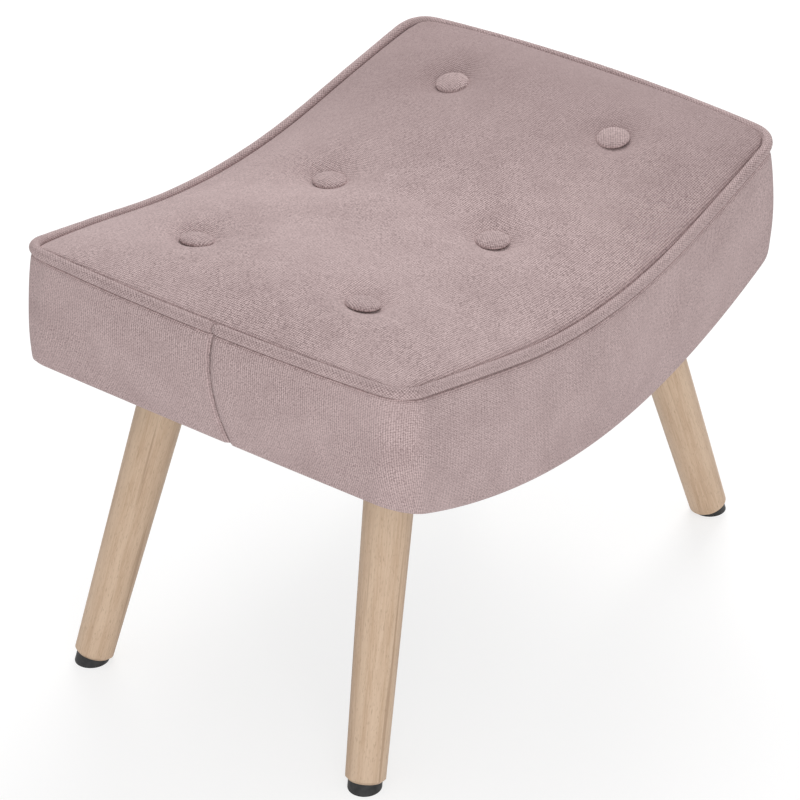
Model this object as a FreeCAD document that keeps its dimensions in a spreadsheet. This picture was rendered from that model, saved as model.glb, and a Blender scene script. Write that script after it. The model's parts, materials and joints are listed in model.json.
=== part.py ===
import FreeCAD, Part
import math
import os
import Sketcher

# Upholstered saddle footstool. X runs along the saddle, Y across it, Z up. The origin is on the floor
# under the middle of the seat. All lengths are in millimetres and all angles in degrees.

doc = FreeCAD.newDocument("saddle_footstool")
Vector = FreeCAD.Vector

sizes = {
    # Outline of the seat, measured on the centre line of the piping
    "seat_length": 500,
    "seat_width": 365,
    "end_bow": 7.7,
    "side_bow": 6.7,
    "seam_corner": 24,
    # Side view of the seat: a hollow top line over a rounder underside
    "saddle_radius": 548,
    "saddle_bend": 12.1,
    "side_height": 116,
    "underside_radius": 555,
    # Crown of the top above the piping line
    "crown_height": 35,
    "crown_least": 0.7,
    "crown_end_power": 4.5,
    "crown_overrun": 1.03,
    "crown_steps": 5,
    "crown_edge_slope": 3,
    # Boxing: how far its face stands beyond the piping line at three levels, and its bows there
    "fabric": 1.6,
    "face_out": 3,
    "level_margin": 16,
    "low_length_out": -2.5,
    "low_width_out": -6.5,
    "low_end_bow": 0.5,
    "low_side_bow": 12,
    "mid_length_out": 7.5,
    "mid_width_out": 6,
    "mid_end_bow": 1.4,
    "mid_side_bow": 4,
    "top_length_out": 0.6,
    "top_width_out": -0.4,
    "top_end_bow": 9,
    "top_side_bow": 4,
    "turn_under": 24,
    # Seams in the middle of the ends: forward of the middle and slanted forward to their foot
    "end_seam_forward": 11,
    "end_seam_slant": 6.5,
    # Piping round the top seam
    "piping_radius": 4.3,
    "piping_cord_radius": 2.7,
    "piping_gap": 0.5,
    # Layers under the top panel
    "wadding": 4,
    "layer_gap": 0.2,
    "soft_gap": 0.3,
    # Tufts and their covered buttons
    "button_spacing_x": 162.5,
    "button_spacing_y": 80,
    "tuft_depth": 10.5,
    "tuft_seat_radius": 13.5,
    "tuft_foot_radius": 20,
    "tuft_foot_angle": 34,
    "tuft_rim_angle": 16,
    "tuft_tail": 22,
    "tuft_lean": 10,
    "button_radius": 14,
    "button_roll": 0.6,
    "button_rim": 2.2,
    "button_height": 5.8,
    "button_socket": 3,
    "twine_radius": 0.9,
    "twine_clearance": 0.3,
    "knot_radius": 2.4,
    "knot_length": 3,
    "washer_radius": 11,
    "washer_thickness": 2.5,
    "washer_gap": 0.7,
    # Plywood frame and seat deck
    "board": 18,
    "rail_inset": 6,
    "rail_corner": 12,
    "deck_drop": 38,
    "deck_thickness": 4,
    "cross_rail_height": 60,
    "cross_rail_lift": 1,
    # Corner blocks that carry the legs
    "block_length": 60,
    "block_thickness": 24,
    "block_inner_reach": 32,
    # Screws that hold the frame together
    "screw_radius": 2,
    "screw_length": 50,
    "screw_head_radius": 4,
    "screw_head_height": 3,
    "screw_clearance": 0.15,
    "screw_inset": 14,
    # Splayed round legs
    "leg_length": 253,
    "leg_top_radius": 20,
    "leg_end_radius": 16,
    "leg_arris": 2.5,
    "splay_x": 17.07,
    "splay_y": 6.98,
    "leg_inset_x": 82.5,
    "leg_inset_y": 73.2,
    "leg_recess": 5,
    # Hanger bolts and their T-nuts
    "bolt_radius": 4,
    "bolt_tip_radius": 2.8,
    "bolt_taper": 4,
    "bolt_in_leg": 30,
    "bolt_above_nut": 3,
    "bolt_clearance": 0.15,
    "nut_barrel_radius": 5.2,
    "nut_barrel_length": 14,
    "nut_flange_radius": 11,
    "nut_flange_thickness": 1.5,
    # Wedge feet and the nails that fix them
    "foot_height": 5.1,
    "foot_inset": 2.5,
    "nail_radius": 1,
    "nail_length": 18,
    "nail_head_radius": 3,
    "nail_head_height": 1,
    "nail_head_depth": 2.5,
    "nail_clearance": 0.15,
    # Dust cover under the frame
    "dust_cover": 0.8,
    "dust_cover_inset": 9,
    "dust_cover_leg_gap": 1.5,
}

sheet = doc.addObject("Spreadsheet::Sheet", "Sizes")
for row, (alias, value) in enumerate(sizes.items(), start=1):
    sheet.set(f"A{row}", alias.replace("_", " "))
    sheet.set(f"B{row}", str(value))
    sheet.setAlias(f"B{row}", alias)
doc.recompute()


def size(alias):
    return float(sheet.get(alias))


half_length = size("seat_length") / 2
half_width = size("seat_width") / 2
board = size("board")
fabric = size("fabric")
layer_gap = size("layer_gap")
soft_gap = size("soft_gap")


# Heights and places that follow from the sizes

saddle_radius = size("saddle_radius")
saddle_bend = math.radians(size("saddle_bend"))
saddle_arc_end = saddle_radius * math.sin(saddle_bend)
saddle_arc_rise = saddle_radius * (1 - math.cos(saddle_bend))
underside_radius = size("underside_radius")


def saddle_rise(x):
    """Height of the seam line above its lowest point: an arc that runs out into straight tangents."""
    reach = abs(x)
    if reach <= saddle_arc_end:
        return saddle_radius - math.sqrt(saddle_radius ** 2 - reach ** 2)
    return saddle_arc_rise + (reach - saddle_arc_end) * math.tan(saddle_bend)


def underside_rise(x, inside=0):
    """Height of the round underside above its lowest point, or of a line that lies inside it."""
    radius = underside_radius - inside
    return underside_radius - math.sqrt(radius ** 2 - x ** 2)


splay_run_x = math.tan(math.radians(size("splay_x")))
splay_run_y = math.tan(math.radians(size("splay_y")))
splay_slant = math.sqrt(1 + splay_run_x ** 2 + splay_run_y ** 2)
leg_drop = size("leg_length") / splay_slant
leg_top_x = half_length - size("leg_inset_x")
leg_top_y = half_width - size("leg_inset_y")
leg_top_z = size("foot_height") + leg_drop
leg_roll = math.degrees(math.asin(splay_run_y / splay_slant))

underside_mid = leg_top_z - size("leg_recess") - underside_rise(leg_top_x)
seam_mid = underside_mid + size("side_height")
underside_centre = underside_mid + underside_radius
saddle_centre = seam_mid + saddle_radius

rail_half_length = half_length - size("rail_inset")
rail_outer = half_width - size("rail_inset")
rail_inner = rail_outer - board
rail_lift = fabric + layer_gap
deck_under = -size("deck_drop")
deck_top = deck_under + size("deck_thickness")
foam_base = deck_top + soft_gap


def seam_height(x):
    return seam_mid + saddle_rise(x)


def rail_bottom(x):
    return underside_mid + underside_rise(x, rail_lift)


def rail_top(x):
    """Height of the underside of the deck, which runs square to the saddle line below it."""
    radius = saddle_radius - deck_under
    bend_x = radius * math.sin(saddle_bend)
    if abs(x) <= bend_x:
        return saddle_centre - math.sqrt(radius ** 2 - x ** 2)
    return saddle_centre - radius * math.cos(saddle_bend) + (abs(x) - bend_x) * math.tan(saddle_bend)


end_rail_outer_x = rail_half_length
end_rail_inner_x = rail_half_length - board
end_rail_mid_x = rail_half_length - board / 2

block_half = size("block_length") / 2
cross_rail_near = -block_half
cross_rail_far = -block_half - board
cross_rail_mid = -block_half - board / 2
roll_cos = math.cos(math.radians(leg_roll))
roll_sin = math.sin(math.radians(leg_roll))
block_outer_low = (rail_inner - leg_top_y) / roll_cos
block_outer_high = block_outer_low + size("block_thickness") * roll_sin / roll_cos

places = {
    "half_length": half_length,
    "half_width": half_width,
    "leg_top_x": leg_top_x,
    "leg_top_y": leg_top_y,
    "leg_top_z": leg_top_z,
    "leg_pitch": size("splay_x"),
    "leg_roll": leg_roll,
    "underside_mid": underside_mid,
    "underside_centre": underside_centre,
    "saddle_centre": saddle_centre,
    "rail_half_length": rail_half_length,
    "rail_outer": rail_outer,
    "rail_inner": rail_inner,
    "rail_lift": rail_lift,
    "rail_end_low": rail_bottom(end_rail_outer_x),
    "rail_end_high": rail_top(end_rail_outer_x),
    "rail_in_low": rail_bottom(end_rail_inner_x),
    "rail_in_high": rail_top(end_rail_inner_x),
    "end_rail_inner_x": end_rail_inner_x,
    "end_rail_mid_x": end_rail_mid_x,
    "end_rail_mid_z": (rail_bottom(end_rail_mid_x) + rail_top(end_rail_mid_x)) / 2,
    "cross_rail_near": cross_rail_near,
    "cross_rail_far": cross_rail_far,
    "cross_rail_mid": cross_rail_mid,
    "block_outer_low": block_outer_low,
    "block_outer_high": block_outer_high,
}

worked = doc.addObject("Spreadsheet::Sheet", "Places")
for row, (alias, value) in enumerate(places.items(), start=1):
    worked.set(f"A{row}", alias.replace("_", " "))
    worked.set(f"B{row}", repr(value))
    worked.setAlias(f"B{row}", alias)
doc.recompute()


# Helpers for bodies, bound sketches and placements

def new_body(label):
    body = doc.addObject("PartDesign::Body", label)
    body.Label = label
    return body


def origin_part(body, role):
    for feature in body.Origin.OriginFeatures:
        if feature.Role == role:
            return feature
    raise ValueError(role)


def new_sketch(body, plane, name):
    sketch = body.newObject("Sketcher::SketchObject", name)
    sketch.AttachmentSupport = (origin_part(body, plane), [""])
    sketch.MapMode = "FlatFace"
    return sketch


def pin(sketch, geometry, end, across, up):
    """Ties one point of a sketch to a pair of expressions."""
    for kind, expression in (("DistanceX", across), ("DistanceY", up)):
        index = sketch.addConstraint(
            Sketcher.Constraint(kind, -1, 1, geometry, end, float(sketch.evalExpression(expression))))
        sketch.setExpression(f"Constraints[{index}]", expression)


def arc_centre(start, finish, radius):
    """Centre of an arc; a positive radius puts it to the left of the way from start to finish."""
    chord = finish - start
    middle = (start + finish) * 0.5
    left = Vector(-chord.y, chord.x, 0).normalize()
    reach = math.sqrt(radius ** 2 - (chord.Length / 2) ** 2)
    return middle + left * math.copysign(reach, radius)


def add_outline(sketch, corners, arcs=None):
    """A closed outline through corners given as expression pairs. Arcs maps an edge to its radius."""
    arcs = arcs or {}
    points = []
    for across, up in corners:
        points.append(Vector(float(sketch.evalExpression(across)), float(sketch.evalExpression(up)), 0))
    ends = []
    for index, start in enumerate(points):
        finish = points[(index + 1) % len(points)]
        if index in arcs:
            radius = float(sketch.evalExpression(arcs[index]))
            centre = arc_centre(start, finish, radius)
            first, last = (start, finish) if radius > 0 else (finish, start)
            first_angle = math.atan2(first.y - centre.y, first.x - centre.x)
            last_angle = math.atan2(last.y - centre.y, last.x - centre.x)
            circle = Part.Circle(centre, Vector(0, 0, 1), abs(radius))
            geometry = sketch.addGeometry(Part.ArcOfCircle(circle, first_angle, last_angle))
            ends.append((geometry, 1, 2) if radius > 0 else (geometry, 2, 1))
        else:
            geometry = sketch.addGeometry(Part.LineSegment(start, finish))
            ends.append((geometry, 1, 2))
    for index, (geometry, begin, end) in enumerate(ends):
        following, following_begin, _ = ends[(index + 1) % len(ends)]
        sketch.addConstraint(Sketcher.Constraint("Coincident", geometry, end, following, following_begin))
        pin(sketch, geometry, begin, *corners[index])
        if index in arcs:
            expression = arcs[index].lstrip("-")
            value = abs(float(sketch.evalExpression(expression)))
            bound = sketch.addConstraint(Sketcher.Constraint("Radius", geometry, value))
            sketch.setExpression(f"Constraints[{bound}]", expression)


def add_circle(sketch, across, up, radius):
    middle = Vector(float(sketch.evalExpression(across)), float(sketch.evalExpression(up)), 0)
    value = float(sketch.evalExpression(radius))
    geometry = sketch.addGeometry(Part.Circle(middle, Vector(0, 0, 1), value))
    pin(sketch, geometry, 3, across, up)
    index = sketch.addConstraint(Sketcher.Constraint("Radius", geometry, value))
    sketch.setExpression(f"Constraints[{index}]", radius)


def pad_both_ways(body, sketch, length):
    pad = body.newObject("PartDesign::Pad", "Pad")
    pad.Profile = sketch
    pad.SideType = "Symmetric"
    pad.setExpression("Length", length)
    return pad


def pad_one_way(body, sketch, length, back=False):
    pad = body.newObject("PartDesign::Pad", "Pad")
    pad.Profile = sketch
    pad.Reversed = back
    pad.setExpression("Length", length)
    return pad


def pocket(body, sketch, depth=None, back=False):
    """Cuts a sketch into the body and makes sure that it took material away."""
    doc.recompute()
    before = body.Shape.Volume
    cut = body.newObject("PartDesign::Pocket", "Pocket")
    cut.Profile = sketch
    cut.Reversed = back
    if depth is None:
        cut.Type = "ThroughAll"
        cut.SideType = "Symmetric"
    else:
        cut.setExpression("Length", depth)
    doc.recompute()
    if body.Shape.Volume >= before:
        raise RuntimeError(f"{body.Label}: a pocket cuts nothing")
    return cut


def turned(label, corners, arcs=None):
    """A body of revolution about its own Z axis, from a half outline on its XZ plane."""
    body = new_body(label)
    sketch = new_sketch(body, "XZ_Plane", "Outline")
    add_outline(sketch, corners, arcs)
    turn = body.newObject("PartDesign::Revolution", "Revolution")
    turn.Profile = sketch
    turn.ReferenceAxis = (origin_part(body, "Z_Axis"), [""])
    turn.Angle = 360
    return body


def place(item, across, along, up, yaw="0", pitch="0", roll="0"):
    """Binds the placement of an object to expressions for its position and its three turns."""
    base = f"create(<<vector>>; {across}; {along}; {up})"
    turn = f"create(<<rotation>>; {yaw}; {pitch}; {roll})"
    item.setExpression("Placement", f"create(<<placement>>; {base}; {turn})")


def group(label, members):
    """One node for a set of identical fasteners, which stay separate solids."""
    compound = doc.addObject("Part::Compound", label)
    compound.Label = label
    compound.Links = members
    return compound


sub_parts = []

corner_signs = {
    "front_left": (-1, -1),
    "front_right": (1, -1),
    "back_left": (-1, 1),
    "back_right": (1, 1),
}


def place_in_leg_frame(item, sign_x, sign_y, up_the_leg="0"):
    """Puts an object on a leg's axis; its own Z runs up the leg and zero is the top of the leg."""
    slant = f"({up_the_leg}) / {splay_slant!r}"
    place(
        item,
        f"{sign_x} * (Places.leg_top_x - {slant} * tan(Sizes.splay_x))",
        f"{sign_y} * (Places.leg_top_y - {slant} * tan(Sizes.splay_y))",
        f"Places.leg_top_z + {slant}",
        pitch=f"{-sign_x} * Places.leg_pitch",
        roll=f"{sign_y} * Places.leg_roll",
    )


# Legs: tapered beech turnings with a blind bore for the hanger bolt and a pilot bore for the nail

for corner, (sign_x, sign_y) in corner_signs.items():
    leg = turned(f"leg_{corner}", [
        ("Sizes.bolt_radius + Sizes.bolt_clearance", "0"),
        ("Sizes.leg_top_radius", "0"),
        ("Sizes.leg_end_radius", "Sizes.leg_arris - Sizes.leg_length"),
        ("Sizes.leg_end_radius - Sizes.leg_arris", "-Sizes.leg_length"),
        ("Sizes.nail_radius + Sizes.nail_clearance", "-Sizes.leg_length"),
        ("Sizes.nail_radius + Sizes.nail_clearance", "Sizes.nail_length - Sizes.leg_length"),
        ("0", "Sizes.nail_length - Sizes.leg_length"),
        ("0", "-Sizes.bolt_in_leg - Sizes.bolt_clearance"),
        ("Sizes.bolt_radius + Sizes.bolt_clearance", "-Sizes.bolt_in_leg - Sizes.bolt_clearance"),
    ])
    place_in_leg_frame(leg, sign_x, sign_y)
    sub_parts.append(leg)


# Hanger bolts: screwed into the legs, through the blocks and into the T-nuts

bolt_top = "(Sizes.block_thickness + Sizes.nut_flange_thickness + Sizes.bolt_above_nut)"
bolts = []
for corner, (sign_x, sign_y) in corner_signs.items():
    bolt = turned(f"hanger_bolt_{corner}", [
        ("0", "-Sizes.bolt_in_leg"),
        ("Sizes.bolt_tip_radius", "-Sizes.bolt_in_leg"),
        ("Sizes.bolt_radius", "Sizes.bolt_taper - Sizes.bolt_in_leg"),
        ("Sizes.bolt_radius", bolt_top),
        ("0", bolt_top),
    ])
    place_in_leg_frame(bolt, sign_x, sign_y)
    bolts.append(bolt)
sub_parts.append(group("hanger_bolts", bolts))


# T-nuts: a flange on top of each block with a barrel that hangs in the bore

nuts = []
for corner, (sign_x, sign_y) in corner_signs.items():
    bore = "Sizes.bolt_radius + Sizes.bolt_clearance"
    barrel_end = "Sizes.block_thickness - Sizes.nut_barrel_length"
    flange_top = "Sizes.block_thickness + Sizes.nut_flange_thickness"
    nut = turned(f"t_nut_{corner}", [
        (bore, barrel_end),
        ("Sizes.nut_barrel_radius", barrel_end),
        ("Sizes.nut_barrel_radius", "Sizes.block_thickness"),
        ("Sizes.nut_flange_radius", "Sizes.block_thickness"),
        ("Sizes.nut_flange_radius", flange_top),
        (bore, flange_top),
    ])
    place_in_leg_frame(nut, sign_x, sign_y)
    nuts.append(nut)
sub_parts.append(group("t_nuts", nuts))


# Corner blocks: square to the leg, bevelled flush against the side rail

for corner, (sign_x, sign_y) in corner_signs.items():
    block = new_body(f"leg_block_{corner}")
    section = new_sketch(block, "YZ_Plane", "Section")
    corners = [
        (f"{-sign_y} * Sizes.block_inner_reach", "0"),
        (f"{sign_y} * Places.block_outer_low", "0"),
        (f"{sign_y} * Places.block_outer_high", "Sizes.block_thickness"),
        (f"{-sign_y} * Sizes.block_inner_reach", "Sizes.block_thickness"),
    ]
    add_outline(section, corners)
    pad_both_ways(block, section, "Sizes.block_length")
    bore = new_sketch(block, "XY_Plane", "Bore")
    add_circle(bore, "0", "0", "Sizes.nut_barrel_radius + Sizes.bolt_clearance")
    pocket(block, bore)
    place_in_leg_frame(block, sign_x, sign_y)
    sub_parts.append(block)


# Feet: black wedges, square to the leg above and flat on the floor below

def leg_cylinder(name, sign_x, sign_y, radius, start, length):
    """A round tool on a leg's axis, from a point down the leg and as long as asked."""
    rod = doc.addObject("Part::Cylinder", name)
    rod.setExpression("Radius", radius)
    rod.setExpression("Height", length)
    place_in_leg_frame(rod, sign_x, sign_y, start)
    return rod


leg_end = "-Sizes.leg_length"
foot_reach = "Sizes.foot_height * 3"
floor_side = "Sizes.leg_end_radius * 6"
floor_depth = "Sizes.foot_height * 4"
nails = []
for corner, (sign_x, sign_y) in corner_signs.items():
    stub = leg_cylinder(f"foot_stub_{corner}", sign_x, sign_y,
                        "Sizes.leg_end_radius - Sizes.foot_inset", f"{leg_end} - {foot_reach}", foot_reach)
    floor = doc.addObject("Part::Box", f"foot_floor_{corner}")
    floor.setExpression("Length", floor_side)
    floor.setExpression("Width", floor_side)
    floor.setExpression("Height", floor_depth)
    place(
        floor,
        f"{sign_x} * (Places.leg_top_x + Places.leg_top_z * tan(Sizes.splay_x)) - {floor_side} / 2",
        f"{sign_y} * (Places.leg_top_y + Places.leg_top_z * tan(Sizes.splay_y)) - {floor_side} / 2",
        f"-{floor_depth}",
    )
    wedge = doc.addObject("Part::Cut", f"foot_wedge_{corner}")
    wedge.Base = stub
    wedge.Tool = floor
    shank_hole = leg_cylinder(f"foot_bore_{corner}", sign_x, sign_y,
                              "Sizes.nail_radius + Sizes.nail_clearance",
                              f"{leg_end} - {foot_reach}", foot_reach)
    head_top = f"(Sizes.foot_height * {splay_slant!r} - Sizes.nail_head_depth - Sizes.nail_head_height)"
    head_start = f"{leg_end} - {head_top} - {foot_reach}"
    head_hole = leg_cylinder(f"foot_head_bore_{corner}", sign_x, sign_y,
                             "Sizes.nail_head_radius + Sizes.nail_clearance", head_start, foot_reach)
    holes = doc.addObject("Part::Fuse", f"foot_holes_{corner}")
    holes.Base = shank_hole
    holes.Tool = head_hole
    foot = doc.addObject("Part::Cut", f"foot_pad_{corner}")
    foot.Label = f"foot_pad_{corner}"
    foot.Base = wedge
    foot.Tool = holes
    sub_parts.append(foot)
    head_seat = f"({leg_end} - {head_top})"
    nail = turned(f"foot_nail_{corner}", [
        ("0", f"{head_seat} - Sizes.nail_head_height"),
        ("Sizes.nail_head_radius", f"{head_seat} - Sizes.nail_head_height"),
        ("Sizes.nail_head_radius", head_seat),
        ("Sizes.nail_radius", head_seat),
        ("Sizes.nail_radius", f"{leg_end} + Sizes.nail_length - Sizes.nail_clearance"),
        ("0", f"{leg_end} + Sizes.nail_length - Sizes.nail_clearance"),
    ])
    place_in_leg_frame(nail, sign_x, sign_y)
    nails.append(nail)
sub_parts.append(group("foot_nails", nails))


# Frame screws: where they pass through the side rails, as places on the XZ plane

end_screws = []
for side in (-1, 1):
    for level in (-1, 1):
        end_screws.append((f"{side} * Places.end_rail_mid_x",
                           f"Places.end_rail_mid_z + {level} * Sizes.screw_inset"))

cross_screws = []
for side in (-1, 1):
    for height in ("Sizes.screw_inset", "Sizes.cross_rail_height - Sizes.screw_inset"):
        local_up = f"(Sizes.cross_rail_lift + {height})"
        cross_screws.append((
            f"{side} * (Places.leg_top_x + Places.cross_rail_mid * cos(Sizes.splay_x)"
            f" - {local_up} * sin(Sizes.splay_x))",
            f"Places.leg_top_z + Places.cross_rail_mid * sin(Sizes.splay_x)"
            f" + {local_up} * cos(Sizes.splay_x)",
        ))


# Side rails: sawn from plywood, round below and hollow above to carry the bent deck

saddle_under = "(Sizes.saddle_radius + Sizes.deck_drop)"
hollow_x = f"{saddle_under} * sin(Sizes.saddle_bend)"
hollow_z = f"Places.saddle_centre - {saddle_under} * cos(Sizes.saddle_bend)"

for side_name, side in (("front", -1), ("back", 1)):
    rail = new_body(f"side_rail_{side_name}")
    outline = new_sketch(rail, "XZ_Plane", "Outline")
    add_outline(outline, [
        ("-Places.rail_half_length", "Places.rail_end_low"),
        ("Places.rail_half_length", "Places.rail_end_low"),
        ("Places.rail_half_length", "Places.rail_end_high"),
        (hollow_x, hollow_z),
        (f"-{hollow_x}", hollow_z),
        ("-Places.rail_half_length", "Places.rail_end_high"),
    ], {0: "Sizes.underside_radius - Places.rail_lift", 3: f"-{saddle_under}"})
    pad = pad_one_way(rail, outline, "Sizes.board", back=side > 0)
    doc.recompute()
    outer_edges = []
    for number, edge in enumerate(rail.Shape.Edges, start=1):
        box = edge.BoundBox
        upright = box.ZLength > board and box.XLength < 0.01
        if upright and abs(box.YMin) > board / 2:
            outer_edges.append(f"Edge{number}")
    rounding = rail.newObject("PartDesign::Fillet", "Rounding")
    rounding.Base = (pad, outer_edges)
    rounding.setExpression("Radius", "Sizes.rail_corner")
    rail.Tip = rounding
    drilling = new_sketch(rail, "XZ_Plane", "Drilling")
    for across, up in end_screws + cross_screws:
        add_circle(drilling, across, up, "Sizes.screw_radius + Sizes.screw_clearance")
    pocket(rail, drilling)
    sinking = rail.newObject("Sketcher::SketchObject", "Sinking")
    sinking.AttachmentSupport = (origin_part(rail, "XZ_Plane"), [""])
    sinking.MapMode = "FlatFace"
    sinking.setExpression("AttachmentOffset.Base.z", f"{-side} * Sizes.board")
    for across, up in end_screws + cross_screws:
        add_circle(sinking, across, up, "Sizes.screw_head_radius + Sizes.screw_clearance")
    pocket(rail, sinking, "Sizes.screw_head_height + Sizes.screw_clearance", back=side > 0)
    place(rail, "0", f"{side} * Places.rail_inner", "0")
    sub_parts.append(rail)


# End rails: between the side rails, following the saddle above and the round underside below

for end_name, end in (("left", -1), ("right", 1)):
    rail = new_body(f"end_rail_{end_name}")
    outline = new_sketch(rail, "XZ_Plane", "Outline")
    corners = [
        (f"{end} * Places.end_rail_inner_x", "Places.rail_in_low"),
        (f"{end} * Places.rail_half_length", "Places.rail_end_low"),
        (f"{end} * Places.rail_half_length", "Places.rail_end_high"),
        (f"{end} * Places.end_rail_inner_x", "Places.rail_in_high"),
    ]
    add_outline(outline, corners)
    pad_both_ways(rail, outline, "Places.rail_inner * 2")
    for side in (-1, 1):
        drilling = rail.newObject("Sketcher::SketchObject", "Drilling")
        drilling.AttachmentSupport = (origin_part(rail, "XZ_Plane"), [""])
        drilling.MapMode = "FlatFace"
        drilling.setExpression("AttachmentOffset.Base.z", f"{side} * Places.rail_inner")
        for across, up in end_screws:
            if across.startswith(f"{end} "):
                add_circle(drilling, across, up, "Sizes.screw_radius + Sizes.screw_clearance")
        pocket(rail, drilling, "Sizes.screw_length - Sizes.board", back=side < 0)
    sub_parts.append(rail)


# Cross rails: set square to the legs, beside the corner blocks

for end_name, end in (("left", -1), ("right", 1)):
    rail = new_body(f"cross_rail_{end_name}")
    outline = new_sketch(rail, "XZ_Plane", "Outline")
    corners = [
        (f"{end} * Places.cross_rail_far", "Sizes.cross_rail_lift"),
        (f"{end} * Places.cross_rail_near", "Sizes.cross_rail_lift"),
        (f"{end} * Places.cross_rail_near", "Sizes.cross_rail_lift + Sizes.cross_rail_height"),
        (f"{end} * Places.cross_rail_far", "Sizes.cross_rail_lift + Sizes.cross_rail_height"),
    ]
    add_outline(outline, corners)
    pad_both_ways(rail, outline, "Places.rail_inner * 2")
    for side in (-1, 1):
        drilling = rail.newObject("Sketcher::SketchObject", "Drilling")
        drilling.AttachmentSupport = (origin_part(rail, "XZ_Plane"), [""])
        drilling.MapMode = "FlatFace"
        drilling.setExpression("AttachmentOffset.Base.z", f"{side} * Places.rail_inner")
        for height in ("Sizes.screw_inset", "Sizes.cross_rail_height - Sizes.screw_inset"):
            add_circle(drilling, f"{end} * Places.cross_rail_mid", f"Sizes.cross_rail_lift + {height}",
                       "Sizes.screw_radius + Sizes.screw_clearance")
        pocket(rail, drilling, "Sizes.screw_length - Sizes.board", back=side < 0)
    place(rail, f"{end} * Places.leg_top_x", "0", "Places.leg_top_z", pitch=f"{-end} * Places.leg_pitch")
    sub_parts.append(rail)


# Frame screws: through the side rails into the end grain of the end rails and cross rails

screws = []
for side in (-1, 1):
    for across, up in end_screws + cross_screws:
        head = "Sizes.screw_head_height"
        tip = "Sizes.screw_length - Sizes.screw_clearance"
        screw = turned(f"frame_screw_{len(screws) + 1}", [
            ("0", "0"),
            ("Sizes.screw_head_radius", "0"),
            ("Sizes.screw_head_radius", f"-{head}"),
            ("Sizes.screw_radius", f"-{head}"),
            ("Sizes.screw_radius", f"Sizes.screw_radius - ({tip})"),
            ("0", f"-({tip})"),
        ])
        place(screw, across, f"{side} * Places.rail_outer", up, roll=f"{-side} * 90")
        screws.append(screw)
sub_parts.append(group("frame_screws", screws))


# Tufts: where the six buttons sit and how their twines run, square to the deck

tufts = []
for column in (-1, 0, 1):
    for line_name, line in (("front", -1), ("back", 1)):
        tufts.append({"column": column, "line": line, "name": f"{column + 2}_{line_name}"})


def tuft_x(tuft):
    return tuft["column"] * size("button_spacing_x")


def tuft_y(tuft):
    return tuft["line"] * size("button_spacing_y")


def tuft_lean(tuft):
    """Lean of a twine towards the middle of the seat, in radians."""
    return -tuft["column"] * math.radians(size("tuft_lean"))


# Seat deck: a thin bent board on the rails, with a hole for each twine

saddle_over = "(Sizes.saddle_radius + Sizes.deck_drop - Sizes.deck_thickness)"
over_x = f"{saddle_over} * sin(Sizes.saddle_bend)"
over_z = f"Places.saddle_centre - {saddle_over} * cos(Sizes.saddle_bend)"
thickness_rise = "Sizes.deck_thickness / cos(Sizes.saddle_bend)"

deck = new_body("seat_deck_blank")
outline = new_sketch(deck, "XZ_Plane", "Outline")
add_outline(outline, [
    ("-Places.rail_half_length", "Places.rail_end_high"),
    (f"-{hollow_x}", hollow_z),
    (hollow_x, hollow_z),
    ("Places.rail_half_length", "Places.rail_end_high"),
    ("Places.rail_half_length", f"Places.rail_end_high + {thickness_rise}"),
    (over_x, over_z),
    (f"-{over_x}", over_z),
    ("-Places.rail_half_length", f"Places.rail_end_high + {thickness_rise}"),
], {1: saddle_under, 5: f"-{saddle_over}"})
pad = pad_both_ways(deck, outline, "Places.rail_outer * 2")
doc.recompute()
corner_edges = []
for number, edge in enumerate(deck.Shape.Edges, start=1):
    box = edge.BoundBox
    if box.XLength < 0.01 and box.YLength < 0.01:
        corner_edges.append(f"Edge{number}")
rounding = deck.newObject("PartDesign::Fillet", "Rounding")
rounding.Base = (pad, corner_edges)
rounding.setExpression("Radius", "Sizes.rail_corner")
deck.Tip = rounding
doc.recompute()


# Soft layers are lofted through lines and arcs that follow these curves

def seam_half_width(x):
    """Half width of the seat on the piping line, which bows out between the corners."""
    return half_width + size("side_bow") * (1 - min(1, (x / half_length) ** 2))


crown_reach = half_length + size("end_bow")


def crown_at(x):
    """Height of the crown along the middle of the seat."""
    share = 1 - (abs(x) / crown_reach) ** size("crown_end_power")
    return max(size("crown_height") * share, size("crown_least"))


def biarc(start, start_way, finish, finish_way):
    """Two arcs that join start to finish, tangent to each other and to the given ways."""
    span = finish - start
    ways = start_way + finish_way
    quadratic = 2 * (1 - start_way.dot(finish_way))
    linear = 2 * span.dot(ways)
    if abs(quadratic) < 1e-9:
        reach = span.dot(span) / (4 * span.dot(finish_way))
    else:
        reach = (-linear + math.sqrt(linear ** 2 + 4 * quadratic * span.dot(span))) / (2 * quadratic)
    joint = (start + finish + (start_way - finish_way) * reach) * 0.5
    return [
        tangent_arc(start, start_way, joint),
        tangent_arc(joint, joint_way(joint, finish, finish_way), finish),
    ]


def joint_way(joint, finish, finish_way):
    """Direction at the start of an arc whose end and end direction are known."""
    chord = (finish - joint).normalize()
    return chord * (2 * chord.dot(finish_way)) - finish_way


def tangent_arc(start, way, finish):
    """The arc from start to finish that leaves start in the given direction."""
    chord = finish - start
    unit = Vector(chord).normalize()
    half_turn = math.acos(max(-1, min(1, unit.dot(way))))
    if half_turn < 1e-5:
        return Part.LineSegment(start, finish).toShape()
    sideways = (way - unit * unit.dot(way)).normalize()
    bulge = sideways * (chord.Length / 2 * math.tan(half_turn / 2))
    return Part.Arc(start, (start + finish) * 0.5 + bulge, finish).toShape()


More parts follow.
